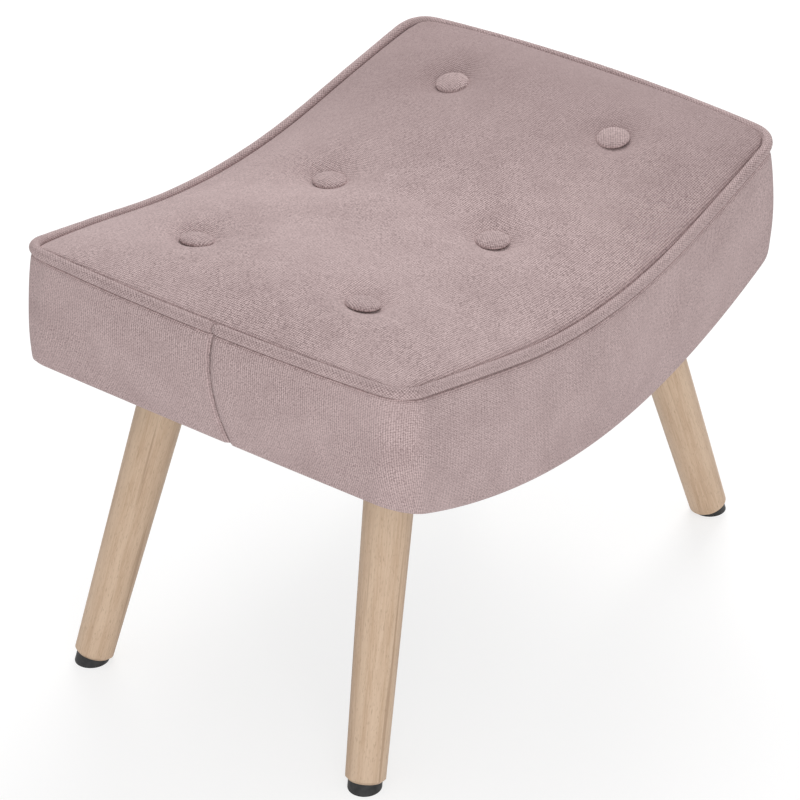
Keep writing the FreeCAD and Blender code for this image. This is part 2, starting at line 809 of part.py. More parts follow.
def crown_section(x, drop, base):
    """Cross section of the seat at one station: flat sides and base under a pillowed top."""
    half = seam_half_width(x)
    seam = seam_height(x) - drop
    crown = crown_at(x)
    slope = size("crown_edge_slope") * crown / half
    edge_way = Vector(0, 1, -slope).normalize()
    top = Vector(x, 0, seam + crown)
    right = Vector(x, half, seam)
    left = Vector(x, -half, seam)
    arcs = biarc(top, Vector(0, 1, 0), right, edge_way)
    shoulder = arcs[0].valueAt(arcs[0].LastParameter)
    mirrored = Vector(x, -shoulder.y, shoulder.z)
    middle = Part.Arc(mirrored, top, shoulder).toShape()
    right_arc = tangent_arc(shoulder, joint_way(shoulder, right, edge_way), right)
    half_way = right_arc.valueAt((right_arc.FirstParameter + right_arc.LastParameter) / 2)
    left_arc = Part.Arc(left, Vector(x, -half_way.y, half_way.z), mirrored).toShape()
    low_right = Vector(x, half, base)
    low_left = Vector(x, -half, base)
    return Part.Wire([
        Part.LineSegment(low_left, left).toShape(),
        left_arc,
        middle,
        right_arc,
        Part.LineSegment(right, low_right).toShape(),
        Part.LineSegment(low_right, low_left).toShape(),
    ])


def crown_stations():
    """Places along the seat for the cross sections, closer together towards its ends."""
    steps = int(size("crown_steps"))
    quarter = math.pi / 2
    return [crown_reach * size("crown_overrun") * math.sin(quarter * step / steps)
            for step in range(-steps, steps + 1)]


def crowned_block(drop):
    """Everything under the pillowed top, lowered by the layers that lie over it."""
    base = underside_mid - size("level_margin")
    sections = [crown_section(x, drop, base) for x in crown_stations()]
    return Part.makeLoft(sections, True, False)


def plan_wire(corner_x, corner_y, end_bow, side_bow, radius, level):
    """A rounded rectangle with bowed sides at one level, as eight arcs."""
    diagonal = radius * (1 - math.sqrt(0.5))
    edges = []
    straight_x = corner_x - radius
    straight_y = corner_y - radius
    sides = (
        (Vector(corner_x, -straight_y, level), Vector(corner_x + end_bow, 0, level),
         Vector(corner_x, straight_y, level)),
        (Vector(straight_x, corner_y, level), Vector(0, corner_y + side_bow, level),
         Vector(-straight_x, corner_y, level)),
        (Vector(-corner_x, straight_y, level), Vector(-corner_x - end_bow, 0, level),
         Vector(-corner_x, -straight_y, level)),
        (Vector(-straight_x, -corner_y, level), Vector(0, -corner_y - side_bow, level),
         Vector(straight_x, -corner_y, level)),
    )
    turns = ((1, 1), (-1, 1), (-1, -1), (1, -1))
    for number, (start, middle, finish) in enumerate(sides):
        edges.append(Part.Arc(start, middle, finish).toShape())
        turn_x, turn_y = turns[number]
        bend = Vector(turn_x * (corner_x - diagonal), turn_y * (corner_y - diagonal), level)
        edges.append(Part.Arc(finish, bend, sides[(number + 1) % 4][0]).toShape())
    return Part.Wire(edges)


def boxed_block(inset):
    """The full-bellied outline of the boxing, at any depth in from its face."""
    low = underside_mid - size("level_margin")
    high = seam_height(half_length) + size("level_margin")
    levels = (("low", low), ("mid", (low + high) / 2), ("top", high))
    wires = []
    for name, level in levels:
        wires.append(plan_wire(
            half_length + size(f"{name}_length_out") - inset,
            half_width + size(f"{name}_width_out") - inset,
            size(f"{name}_end_bow"),
            size(f"{name}_side_bow"),
            size("seam_corner") + size("face_out") - inset,
            level,
        ))
    return Part.makeLoft(wires, True, False)


past_seat = 1.3
reach_x = half_length * past_seat
reach_y = half_width * past_seat
far_up = seam_height(reach_x) + size("crown_height") * 3


def across_seat(edges):
    """Pulls a closed outline on the XZ plane right across the seat."""
    face = Part.Face(Part.Wire(edges))
    face.translate(Vector(0, -reach_y, 0))
    return face.extrude(Vector(0, 2 * reach_y, 0))


def saddle_line(offset):
    """The saddle line moved up or down square to itself, as a line, an arc and a line."""
    radius = saddle_radius - offset
    bend_x = radius * math.sin(saddle_bend)
    bend_z = saddle_centre - radius * math.cos(saddle_bend)
    end_z = bend_z + (reach_x - bend_x) * math.tan(saddle_bend)
    left = Vector(-reach_x, 0, end_z)
    right = Vector(reach_x, 0, end_z)
    bend_left = Vector(-bend_x, 0, bend_z)
    bend_right = Vector(bend_x, 0, bend_z)
    lowest = Vector(0, 0, saddle_centre - radius)
    return left, right, [
        Part.LineSegment(left, bend_left).toShape(),
        Part.Arc(bend_left, lowest, bend_right).toShape(),
        Part.LineSegment(bend_right, right).toShape(),
    ]


def underside_line(inside):
    """The round underside, or a line that lies inside it, as one arc."""
    lowest = Vector(0, 0, underside_mid + inside)
    left = Vector(-reach_x, 0, underside_mid + underside_rise(reach_x, inside))
    right = Vector(reach_x, 0, left.z)
    return left, right, [Part.Arc(left, lowest, right).toShape()]


def slab_between(lower, upper):
    """Everything across the seat between two of the lines above."""
    low_left, low_right, low_edges = lower
    high_left, high_right, high_edges = upper
    ends = [
        Part.LineSegment(low_left, high_left).toShape(),
        Part.LineSegment(low_right, high_right).toShape(),
    ]
    return across_seat(Part.__sortEdges__(low_edges + high_edges + ends))


def space_above(lower):
    low_left, low_right, low_edges = lower
    high_left = Vector(-reach_x, 0, far_up)
    high_right = Vector(reach_x, 0, far_up)
    ends = [
        Part.LineSegment(low_left, high_left).toShape(),
        Part.LineSegment(high_left, high_right).toShape(),
        Part.LineSegment(low_right, high_right).toShape(),
    ]
    return across_seat(Part.__sortEdges__(low_edges + ends))


def crown_height_at(x, y):
    """Height of the pillowed top above the seam line, before the tufts are drawn in."""
    half = seam_half_width(x)
    top = Part.Wire(crown_section(x, 0, underside_mid).Edges[1:4])
    probe = Part.LineSegment(Vector(x, y, underside_mid), Vector(x, y, far_up)).toShape()
    _, points, _ = top.distToShape(probe)
    return points[0][0].z - seam_height(x) if abs(y) < half else 0


def tuft_placement(tuft, drop):
    """Seat of a button: its Z runs out along the twine and zero is where the button rests."""
    x = tuft_x(tuft)
    lean = tuft_lean(tuft)
    way = Vector(math.sin(lean), 0, math.cos(lean))
    crown_middle = Vector(x, tuft_y(tuft), seam_height(x) + crown_height_at(x, tuft_y(tuft)))
    seat = crown_middle - way * (size("tuft_depth") + drop)
    turn = FreeCAD.Rotation(Vector(0, 0, 1), way)
    return FreeCAD.Placement(seat, turn)


def tuft_tool(tuft, drop):
    """Bell shaped hollow of one tuft: a flat seat, a foot that curves up and a soft rim."""
    foot_angle = math.radians(size("tuft_foot_angle"))
    rim_angle = math.radians(size("tuft_rim_angle"))
    foot = size("tuft_foot_radius")
    start = size("tuft_seat_radius")
    bend_r = start + foot * math.sin(foot_angle)
    bend_z = foot * (1 - math.cos(foot_angle))
    rise = size("tuft_depth") - bend_z
    brow = rise / (math.cos(rim_angle) - math.cos(foot_angle))
    rim_r = bend_r + brow * (math.sin(foot_angle) - math.sin(rim_angle))
    middle_angle = (foot_angle + rim_angle) / 2
    brow_r = bend_r + brow * (math.sin(foot_angle) - math.sin(middle_angle))
    brow_z = bend_z + brow * (math.cos(middle_angle) - math.cos(foot_angle))
    tail_r = rim_r + size("tuft_tail")
    tail_z = size("tuft_depth") + (tail_r - rim_r) * math.tan(rim_angle)
    lid = size("crown_height") * 2
    half_foot = foot_angle / 2
    edges = [
        Part.LineSegment(Vector(0, 0, 0), Vector(start, 0, 0)).toShape(),
        Part.Arc(Vector(start, 0, 0),
                 Vector(start + foot * math.sin(half_foot), 0, foot * (1 - math.cos(half_foot))),
                 Vector(bend_r, 0, bend_z)).toShape(),
        Part.Arc(Vector(bend_r, 0, bend_z), Vector(brow_r, 0, brow_z),
                 Vector(rim_r, 0, size("tuft_depth"))).toShape(),
        Part.LineSegment(Vector(rim_r, 0, size("tuft_depth")), Vector(tail_r, 0, tail_z)).toShape(),
        Part.LineSegment(Vector(tail_r, 0, tail_z), Vector(tail_r, 0, lid)).toShape(),
        Part.LineSegment(Vector(tail_r, 0, lid), Vector(0, 0, lid)).toShape(),
        Part.LineSegment(Vector(0, 0, lid), Vector(0, 0, 0)).toShape(),
    ]
    tool = Part.Face(Part.Wire(edges)).revolve(Vector(0, 0, 0), Vector(0, 0, 1), 360)
    tool.Placement = tuft_placement(tuft, drop)
    return tool


def twine_hole(tuft):
    """A bore along one twine, right through every layer."""
    hole_radius = size("twine_radius") + size("twine_clearance")
    depth = size("crown_height") + size("side_height")
    hole = Part.makeCylinder(hole_radius, depth, Vector(0, 0, -depth))
    hole.Placement = tuft_placement(tuft, 0)
    return hole


twine_holes = [twine_hole(tuft) for tuft in tufts]


def tufted_block(drop):
    """The crowned block with its six tufts drawn in."""
    return crowned_block(drop).cut([tuft_tool(tuft, drop) for tuft in tufts])


def feature(label, shape):
    """Keeps a soft piece as an object of the document."""
    if len(shape.Solids) == 1:
        shape = shape.Solids[0]
    item = doc.addObject("Part::Feature", label)
    item.Label = label
    item.Shape = shape
    item.Placement = FreeCAD.Placement()
    sub_parts.append(item)
    return item


# Deck holes: the deck is the bent blank with the twine bores taken out

deck_piece = doc.addObject("Part::Feature", "seat_deck")
deck_piece.Label = "seat_deck"
deck_piece.Shape = deck.Shape.cut(twine_holes)
sub_parts.append(deck_piece)


# Top panel, wadding and foam: three layers nested under the same crown and tufts

panel_inset = size("face_out") + size("piping_radius") + soft_gap
wadding_drop = fabric + layer_gap
foam_drop = wadding_drop + size("wadding") + layer_gap
top_outline = boxed_block(panel_inset)

panel_top = tufted_block(0)
panel_under = tufted_block(fabric)
wadding_top = tufted_block(wadding_drop)
wadding_under = tufted_block(wadding_drop + size("wadding"))
foam_top = tufted_block(foam_drop)

feature("top_panel", panel_top.common(top_outline).cut([panel_under] + twine_holes))
feature("wadding", wadding_top.common(top_outline).cut([wadding_under] + twine_holes))
above_deck = space_above(saddle_line(foam_base))
feature("foam_pad", foam_top.common(top_outline).common(above_deck).cut(twine_holes))


# Boxing: two strips sewn together near the middle of each end, turned under the rails all round

boxing_top = saddle_line(-size("piping_radius") - layer_gap)
outer_skin = boxed_block(0).common(slab_between(underside_line(0), boxing_top))
inner_space = boxed_block(fabric).common(space_above(underside_line(fabric)))
opening = boxed_block(size("turn_under"))
boxing_ring = outer_skin.cut([inner_space, opening])
seam_middle = Vector(0, -size("end_seam_forward"), seam_height(half_length))
cut_depth = 3 * reach_y
for side_name, side in (("front", -1), ("back", 1)):
    start_y = seam_middle.y + layer_gap / 4
    if side < 0:
        start_y = seam_middle.y - layer_gap / 4 - cut_depth
    half_space = Part.makeBox(2 * reach_x, cut_depth, far_up * 2,
                              Vector(-reach_x, start_y, seam_middle.z - far_up))
    half_space.rotate(seam_middle, Vector(1, 0, 0), -size("end_seam_slant"))
    feature(f"boxing_{side_name}", boxing_ring.common(half_space))


# Side wrap: soft foam glued round the frame and the pad, which gives the boxing its belly

wrap_top = saddle_line(-size("piping_radius") - layer_gap - soft_gap)
wrap_outer = boxed_block(fabric + soft_gap).common(
    slab_between(underside_line(fabric + layer_gap), wrap_top))
wrap_core = boxed_block(panel_inset - soft_gap).common(space_above(saddle_line(deck_under)))
frame_space = Part.makeBox(2 * (rail_half_length + soft_gap), 2 * (rail_outer + soft_gap), far_up,
                           Vector(-rail_half_length - soft_gap, -rail_outer - soft_gap, 0))
feature("side_wrap", wrap_outer.cut([wrap_core, frame_space]))


# Piping: a fabric sleeve round a cord, along the seam from the boxing seam back to itself

def bowed_point(along_side, share):
    """A point of the piping line: share runs from -1 to 1 between the corners of a side."""
    corner = size("seam_corner")
    if along_side:
        x = share * (half_length - corner)
        return Vector(x, half_width + size("side_bow") * (1 - share ** 2), seam_height(x))
    y = share * (half_width - corner)
    x = half_length + size("end_bow") * (1 - share ** 2)
    return Vector(x, y, seam_height(x))


def bowed_way(along_side, share):
    """Direction of the piping line at the same point, with growing x or y."""
    step = 0.001
    return (bowed_point(along_side, share + step) - bowed_point(along_side, share - step)).normalize()


def piping_stops():
    """Points and directions round the seam, from the joint on the left end back to it."""
    straight_half = half_width - size("seam_corner")
    gap = size("piping_gap") / 2 / straight_half
    joint_share = size("end_seam_forward") / straight_half
    thirds = 3
    side_shares = [step / thirds for step in range(-thirds, thirds + 1)]
    stops = []

    def mirrored(vector, flip_x, flip_y):
        return Vector(vector.x * flip_x, vector.y * flip_y, vector.z)

    for share in (joint_share + gap, 1):
        stops.append((mirrored(bowed_point(False, share), -1, -1), mirrored(bowed_way(False, share), -1, -1)))
    for share in side_shares:
        stops.append((mirrored(bowed_point(True, share), 1, -1), mirrored(bowed_way(True, share), 1, -1)))
    for share in (-1, 0, 1):
        stops.append((bowed_point(False, share), bowed_way(False, share)))
    for share in reversed(side_shares):
        stops.append((bowed_point(True, share), bowed_way(True, share) * -1))
    for share in (1, gap - joint_share):
        stops.append((mirrored(bowed_point(False, share), -1, 1), mirrored(bowed_way(False, share), 1, -1)))
    return stops


def piping_tube(radius):
    stops = piping_stops()
    edges = []
    for (start, start_way), (finish, finish_way) in zip(stops, stops[1:]):
        edges += biarc(start, start_way, finish, finish_way)
    path = Part.Wire(edges)
    first_point, first_way = stops[0]
    ring = Part.Wire(Part.Circle(first_point, first_way, radius).toShape())
    return path.makePipeShell([ring], True, False)


piping_outer = piping_tube(size("piping_radius"))
piping_hollow = piping_tube(size("piping_cord_radius") + layer_gap / 2)
feature("piping_sleeve", piping_outer.cut(piping_hollow))
feature("piping_cord", piping_tube(size("piping_cord_radius")))


# Buttons: domed and covered, each on a twine that is tied to a washer under the deck

dome_rise = "(Sizes.button_height - Sizes.button_rim - Sizes.layer_gap)"
dome_radius = f"(((Sizes.button_radius - Sizes.button_roll) ^ 2 + {dome_rise} ^ 2) / {dome_rise} / 2)"
twines = []
washers = []
for tuft in tufts:
    seat = tuft_placement(tuft, 0)
    way = seat.Rotation.multVec(Vector(0, 0, 1))
    reach_down = (seat.Base.z - rail_top(seat.Base.x)) / way.z
    for _ in range(4):
        foot_x = seat.Base.x - way.x * reach_down
        reach_down = (seat.Base.z - rail_top(foot_x)) / way.z
    twine_down = repr(reach_down)
    button = turned(f"button_{tuft['name']}", [
        ("Sizes.twine_radius + Sizes.twine_clearance", "Sizes.layer_gap"),
        ("Sizes.button_radius - Sizes.button_roll", "Sizes.layer_gap"),
        ("Sizes.button_radius", "Sizes.layer_gap + Sizes.button_rim / 2"),
        ("Sizes.button_radius - Sizes.button_roll", "Sizes.layer_gap + Sizes.button_rim"),
        ("0", "Sizes.button_height"),
        ("0", "Sizes.button_socket"),
        ("Sizes.twine_radius + Sizes.twine_clearance", "Sizes.button_socket"),
    ], {3: dome_radius})
    button.Placement = seat
    sub_parts.append(button)
    washer_top = f"-{twine_down} - Sizes.washer_gap"
    washer_under = f"{washer_top} - Sizes.washer_thickness"
    washer = turned(f"twine_washer_{tuft['name']}", [
        ("Sizes.twine_radius + Sizes.twine_clearance", washer_top),
        ("Sizes.twine_radius + Sizes.twine_clearance", washer_under),
        ("Sizes.washer_radius", washer_under),
        ("Sizes.washer_radius", washer_top),
    ])
    washer.Placement = seat
    washers.append(washer)
    knot_top = f"{washer_under} - Sizes.layer_gap"
    twine = turned(f"twine_{tuft['name']}", [
        ("0", f"{knot_top} - Sizes.knot_length"),
        ("Sizes.knot_radius", f"{knot_top} - Sizes.knot_length"),
        ("Sizes.knot_radius", knot_top),
        ("Sizes.twine_radius", knot_top),
        ("Sizes.twine_radius", "Sizes.button_socket - Sizes.layer_gap"),
        ("0", "Sizes.button_socket - Sizes.layer_gap"),
    ])
    twine.Placement = seat
    twines.append(twine)
sub_parts.append(group("button_twines", twines))
sub_parts.append(group("twine_washers", washers))


# Dust cover: a thin sheet under the frame, cut out round the legs

cover_blank = new_body("dust_cover_blank")
outline = new_sketch(cover_blank, "XZ_Plane", "Outline")
cover_x = "(Places.half_length - Sizes.dust_cover_inset)"
cover_over = "(Sizes.underside_radius + Sizes.layer_gap / 2)"
cover_under = "(Sizes.underside_radius + Sizes.layer_gap / 2 + Sizes.dust_cover)"
over_end = f"Places.underside_centre - sqrt({cover_over} ^ 2 - {cover_x} ^ 2)"
under_end = f"Places.underside_centre - sqrt({cover_under} ^ 2 - {cover_x} ^ 2)"
add_outline(outline, [
    (f"-{cover_x}", under_end),
    (cover_x, under_end),
    (cover_x, over_end),
    (f"-{cover_x}", over_end),
], {0: cover_under, 2: f"-{cover_over}"})
pad_both_ways(cover_blank, outline, "(Places.half_width - Sizes.dust_cover_inset) * 2")
leg_openings = []
for corner, (sign_x, sign_y) in corner_signs.items():
    leg_openings.append(leg_cylinder(
        f"dust_cover_opening_{corner}", sign_x, sign_y,
        "Sizes.leg_top_radius + Sizes.dust_cover_leg_gap",
        "-Sizes.leg_top_radius * 2", "Sizes.leg_top_radius * 4"))
openings = doc.addObject("Part::MultiFuse", "dust_cover_openings")
openings.Shapes = leg_openings
cover = doc.addObject("Part::Cut", "dust_cover")
cover.Label = "dust_cover"
cover.Base = cover_blank
cover.Tool = openings
sub_parts.append(cover)

doc.recompute()

for item in doc.Objects:
    if "Invalid" in item.State or "Error" in item.State:
        raise RuntimeError(f"{item.Name} failed: {item.State}")

os.makedirs("parts", exist_ok=True)
for item in sub_parts:
    if item.Shape.isNull() or not item.Shape.isValid() or not item.Shape.Solids:
        raise RuntimeError(f"{item.Label} has no valid solid")
for item in sub_parts:
    item.Shape.exportStep(f"parts/{item.Label}.step")
    box = item.Shape.optimalBoundingBox(False, False)
    spans = (box.XMin, box.YMin, box.ZMin, box.XMax, box.YMax, box.ZMax)
    print(item.Label, len(item.Shape.Solids), round(item.Shape.Volume / 1000, 2),
          [round(value, 1) for value in spans])
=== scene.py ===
import json
import math
import bmesh
import bpy
from mathutils import Matrix, Vector, noise

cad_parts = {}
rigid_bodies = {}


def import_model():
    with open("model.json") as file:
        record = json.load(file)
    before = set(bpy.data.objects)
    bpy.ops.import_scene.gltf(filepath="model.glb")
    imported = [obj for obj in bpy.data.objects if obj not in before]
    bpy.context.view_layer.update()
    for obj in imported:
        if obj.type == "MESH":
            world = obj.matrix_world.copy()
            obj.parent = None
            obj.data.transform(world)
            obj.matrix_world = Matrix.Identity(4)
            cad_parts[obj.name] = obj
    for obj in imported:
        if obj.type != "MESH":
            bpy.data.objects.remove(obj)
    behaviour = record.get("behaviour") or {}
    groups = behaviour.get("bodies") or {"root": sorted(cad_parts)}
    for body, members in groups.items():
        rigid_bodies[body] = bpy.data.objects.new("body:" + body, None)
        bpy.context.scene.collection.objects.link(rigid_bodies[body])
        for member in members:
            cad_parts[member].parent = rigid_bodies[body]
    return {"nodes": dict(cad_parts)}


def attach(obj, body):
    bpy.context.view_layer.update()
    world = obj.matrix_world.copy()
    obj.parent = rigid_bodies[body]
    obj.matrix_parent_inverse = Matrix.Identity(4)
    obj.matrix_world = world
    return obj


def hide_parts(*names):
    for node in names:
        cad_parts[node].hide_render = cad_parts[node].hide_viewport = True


for leftover in list(bpy.data.objects):
    bpy.data.objects.remove(leftover)
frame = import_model()
bpy.context.view_layer.update()
scene = bpy.context.scene
nodes = frame["nodes"]


# Studio: the stool stands on a plain white sweep under an even white sky. A broad soft lamp stands
# behind it on the right and a weaker one in front. The camera looks down on the near left corner.

def new_object(name, data):
    thing = bpy.data.objects.new(name, data)
    scene.collection.objects.link(thing)
    return thing


lens = bpy.data.cameras.new("camera")
lens.sensor_width = 36
lens.lens = 170.15
lens.shift_x = -0.01245
lens.shift_y = -0.0007
camera = new_object("camera", lens)
aim = Vector((0, 0, 0.1785))
camera_back = Vector((-0.678, -0.511, 0.529)).normalized()
camera_distance = 3.0626
camera.location = aim + camera_back * camera_distance
camera.rotation_euler = camera_back.to_track_quat("Z", "Y").to_euler()
scene.camera = camera
scene.view_settings.view_transform = "Standard"


def new_material(name):
    """An empty material with its shader; returns the material, its node tree and the shader."""
    material = bpy.data.materials.new(name)
    material.use_nodes = True
    tree = material.node_tree
    tree.nodes.clear()
    output = tree.nodes.new("ShaderNodeOutputMaterial")
    shader = tree.nodes.new("ShaderNodeBsdfPrincipled")
    tree.links.new(shader.outputs["BSDF"], output.inputs["Surface"])
    return material, tree, shader


def add_node(tree, kind, sources=None, **settings):
    """One node of a material: sources maps its sockets to values or to other nodes' outputs."""
    node = tree.nodes.new(kind)
    for key, value in settings.items():
        setattr(node, key, value)
    for socket, source in (sources or {}).items():
        if isinstance(source, bpy.types.NodeSocket):
            tree.links.new(source, node.inputs[socket])
        else:
            node.inputs[socket].default_value = source
    return node


def seen_directly(tree):
    """1 for rays from the camera, a mirror or a glass, and 0 for light that falls on the object."""
    path = add_node(tree, "ShaderNodeLightPath")
    camera_or_gloss = add_node(tree, "ShaderNodeMath", {
        0: path.outputs["Is Camera Ray"], 1: path.outputs["Is Glossy Ray"]}, operation="MAXIMUM")
    any_direct = add_node(tree, "ShaderNodeMath", {
        0: camera_or_gloss.outputs[0], 1: path.outputs["Is Transmission Ray"]}, operation="MAXIMUM")
    return any_direct.outputs[0]


sky = bpy.data.worlds.new("sky")
sky.use_nodes = True
sky.node_tree.nodes.clear()
sky_level = 0.60
sky_strength = add_node(sky.node_tree, "ShaderNodeMix", {
    "Factor": seen_directly(sky.node_tree), 2: sky_level, 3: 1.0})
sky_light = add_node(sky.node_tree, "ShaderNodeBackground", {
    "Color": (1, 1, 1, 1), "Strength": sky_strength.outputs[0]})
add_node(sky.node_tree, "ShaderNodeOutputWorld", {"Surface": sky_light.outputs[0]})
scene.world = sky

floor_reach = 12
floor_mesh = bmesh.new()
bmesh.ops.create_grid(floor_mesh, x_segments=1, y_segments=1, size=floor_reach)
floor_data = bpy.data.meshes.new("floor")
floor_mesh.to_mesh(floor_data)
floor_mesh.free()
floor = new_object("floor", floor_data)
floor_material, floor_tree, floor_shader = new_material("white sweep")
floor_bounce = 0.86
floor_shown = 0.36
floor_lit = 0.71
floor_base = add_node(floor_tree, "ShaderNodeMix", {
    "Factor": seen_directly(floor_tree), 2: floor_bounce, 3: floor_shown})
floor_tree.links.new(floor_base.outputs[0], floor_shader.inputs["Base Color"])
floor_shader.inputs["Roughness"].default_value = 1
floor_shader.inputs["Specular IOR Level"].default_value = 0
floor_glow = add_node(floor_tree, "ShaderNodeEmission", {
    "Color": (floor_lit, floor_lit, floor_lit, 1), "Strength": seen_directly(floor_tree)})
floor_sum = add_node(floor_tree, "ShaderNodeAddShader", {
    0: floor_shader.outputs[0], 1: floor_glow.outputs[0]})
floor_tree.links.new(floor_sum.outputs[0], floor_tree.nodes["Material Output"].inputs["Surface"])
floor_data.materials.append(floor_material)


def soft_lamp(name, place, width, power):
    """A square lamp that faces the seat."""
    data = bpy.data.lights.new(name, "AREA")
    data.size = width
    data.energy = power
    lamp = new_object(name, data)
    lamp.location = place
    lamp.rotation_euler = (Vector(place) - aim).to_track_quat("Z", "Y").to_euler()


soft_lamp("key lamp", (1.6, 0.9, 1.9), 1.3, 33)
soft_lamp("front lamp", (-2.2, -2.0, 0.8), 2.0, 33)


# Frame: two saddle-sawn side rails, two end rails and two cross rails of 18 mm plywood, four corner
# blocks and a thin bent deck. All of it is glued and screwed, and hidden once the seat is covered.

def object_place(tree, turn=(0, 0, 0), shift=(0, 0, 0), stretch=(1, 1, 1)):
    """The place on the object in metres, turned and stretched for a pattern."""
    coordinates = add_node(tree, "ShaderNodeTexCoord")
    return add_node(tree, "ShaderNodeMapping", {
        "Vector": coordinates.outputs["Object"], "Rotation": turn, "Location": shift, "Scale": stretch,
    }).outputs[0]


def set_colour(tree, node, socket, value):
    if isinstance(value, bpy.types.NodeSocket):
        tree.links.new(value, node.inputs[socket])
    else:
        node.inputs[socket].default_value = (*value, 1)


def mixed(tree, factor, first, second, blend="MIX"):
    """Two colours, or a colour over the result of another node."""
    node = tree.nodes.new("ShaderNodeMix")
    node.data_type = "RGBA"
    node.blend_type = blend
    if isinstance(factor, bpy.types.NodeSocket):
        tree.links.new(factor, node.inputs[0])
    else:
        node.inputs[0].default_value = factor
    set_colour(tree, node, 6, first)
    set_colour(tree, node, 7, second)
    return node.outputs[2]


def ramp(tree, value, low, high, to_low=0.0, to_high=1.0):
    """The share of the way from low to high, held inside its ends."""
    return add_node(tree, "ShaderNodeMapRange", {
        "Value": value, "From Min": low, "From Max": high, "To Min": to_low, "To Max": to_high,
    }).outputs["Result"]


def grainy(tree, place, scale, detail=2.0, rough=0.5, distortion=0.0):
    return add_node(tree, "ShaderNodeTexNoise", {
        "Vector": place, "Scale": scale, "Detail": detail, "Roughness": rough, "Distortion": distortion,
    }).outputs["Fac"]


def set_bump(tree, shader, height, strength, distance):
    bump = add_node(tree, "ShaderNodeBump", {
        "Height": height, "Strength": strength, "Distance": distance})
    tree.links.new(bump.outputs["Normal"], shader.inputs["Normal"])


plywood, tree, shader = new_material("plywood")
band_pitch = 0.314
ply_pitch = 0.0018
board_place = object_place(tree)
plies = add_node(tree, "ShaderNodeTexWave", {
    "Vector": board_place, "Scale": band_pitch / ply_pitch, "Distortion": 0.4, "Detail": 1.0},
    bands_direction="Y").outputs["Fac"]
board_grain = grainy(tree, object_place(tree, stretch=(0.08, 1, 1)), 420, 3)
ply_colour = mixed(tree, ramp(tree, plies, 0.3, 0.7), (0.62, 0.47, 0.31), (0.49, 0.35, 0.22))
tree.links.new(
    mixed(tree, ramp(tree, board_grain, 0.35, 0.7, 0, 0.5), ply_colour, (0.42, 0.29, 0.17)),
    shader.inputs["Base Color"])
shader.inputs["Roughness"].default_value = 0.75
set_bump(tree, shader, board_grain, 0.3, 0.0004)
for board in ("side_rail_front", "side_rail_back", "end_rail_left", "end_rail_right",
              "cross_rail_left", "cross_rail_right", "seat_deck"):
    nodes[board].material_slots[0].material = plywood

block_wood, tree, shader = new_material("block wood")
block_grain = grainy(tree, object_place(tree, stretch=(1, 0.06, 1)), 300, 4, 0.6)
tree.links.new(
    mixed(tree, ramp(tree, block_grain, 0.3, 0.75), (0.60, 0.44, 0.27), (0.43, 0.29, 0.16)),
    shader.inputs["Base Color"])
shader.inputs["Roughness"].default_value = 0.7
set_bump(tree, shader, block_grain, 0.25, 0.0004)
corners = ("front_left", "front_right", "back_left", "back_right")
for corner in corners:
    nodes[f"leg_block_{corner}"].material_slots[0].material = block_wood


# Fixings: zinc-plated screws, hanger bolts, T-nuts and foot nails, driven home in the wood and
# never seen on the finished stool.

zinc, tree, shader = new_material("zinc plate")
zinc_cloud = grainy(tree, object_place(tree), 900, 3)
tree.links.new(
    mixed(tree, ramp(tree, zinc_cloud, 0.35, 0.65), (0.56, 0.56, 0.58), (0.70, 0.70, 0.71)),
    shader.inputs["Base Color"])
shader.inputs["Metallic"].default_value = 1
shader.inputs["Roughness"].default_value = 0.38
set_bump(tree, shader, zinc_cloud, 0.1, 0.0002)
for fixing in ("hanger_bolts", "t_nuts", "foot_nails", "frame_screws"):
    nodes[fixing].material_slots[0].material = zinc


# Legs: tapered round turnings of pale beech under a clear matt lacquer, screwed on hanger bolts
# into the corner blocks so that they splay out to both sides.

splay_x = math.radians(17.07)
splay_y = math.radians(6.98)
leg_top = Vector((0.1675, 0.1093, 0.2453))


def leg_turn(side_x, side_y):
    """The turn that stands one leg's axis upright, and the shift that centres it."""
    axis = Vector((-side_x * math.tan(splay_x), -side_y * math.tan(splay_y), 1)).normalized()
    turn = axis.rotation_difference(Vector((0, 0, 1)))
    foot = Vector((side_x * leg_top.x, side_y * leg_top.y, leg_top.z))
    return turn.to_euler(), -(turn @ foot)


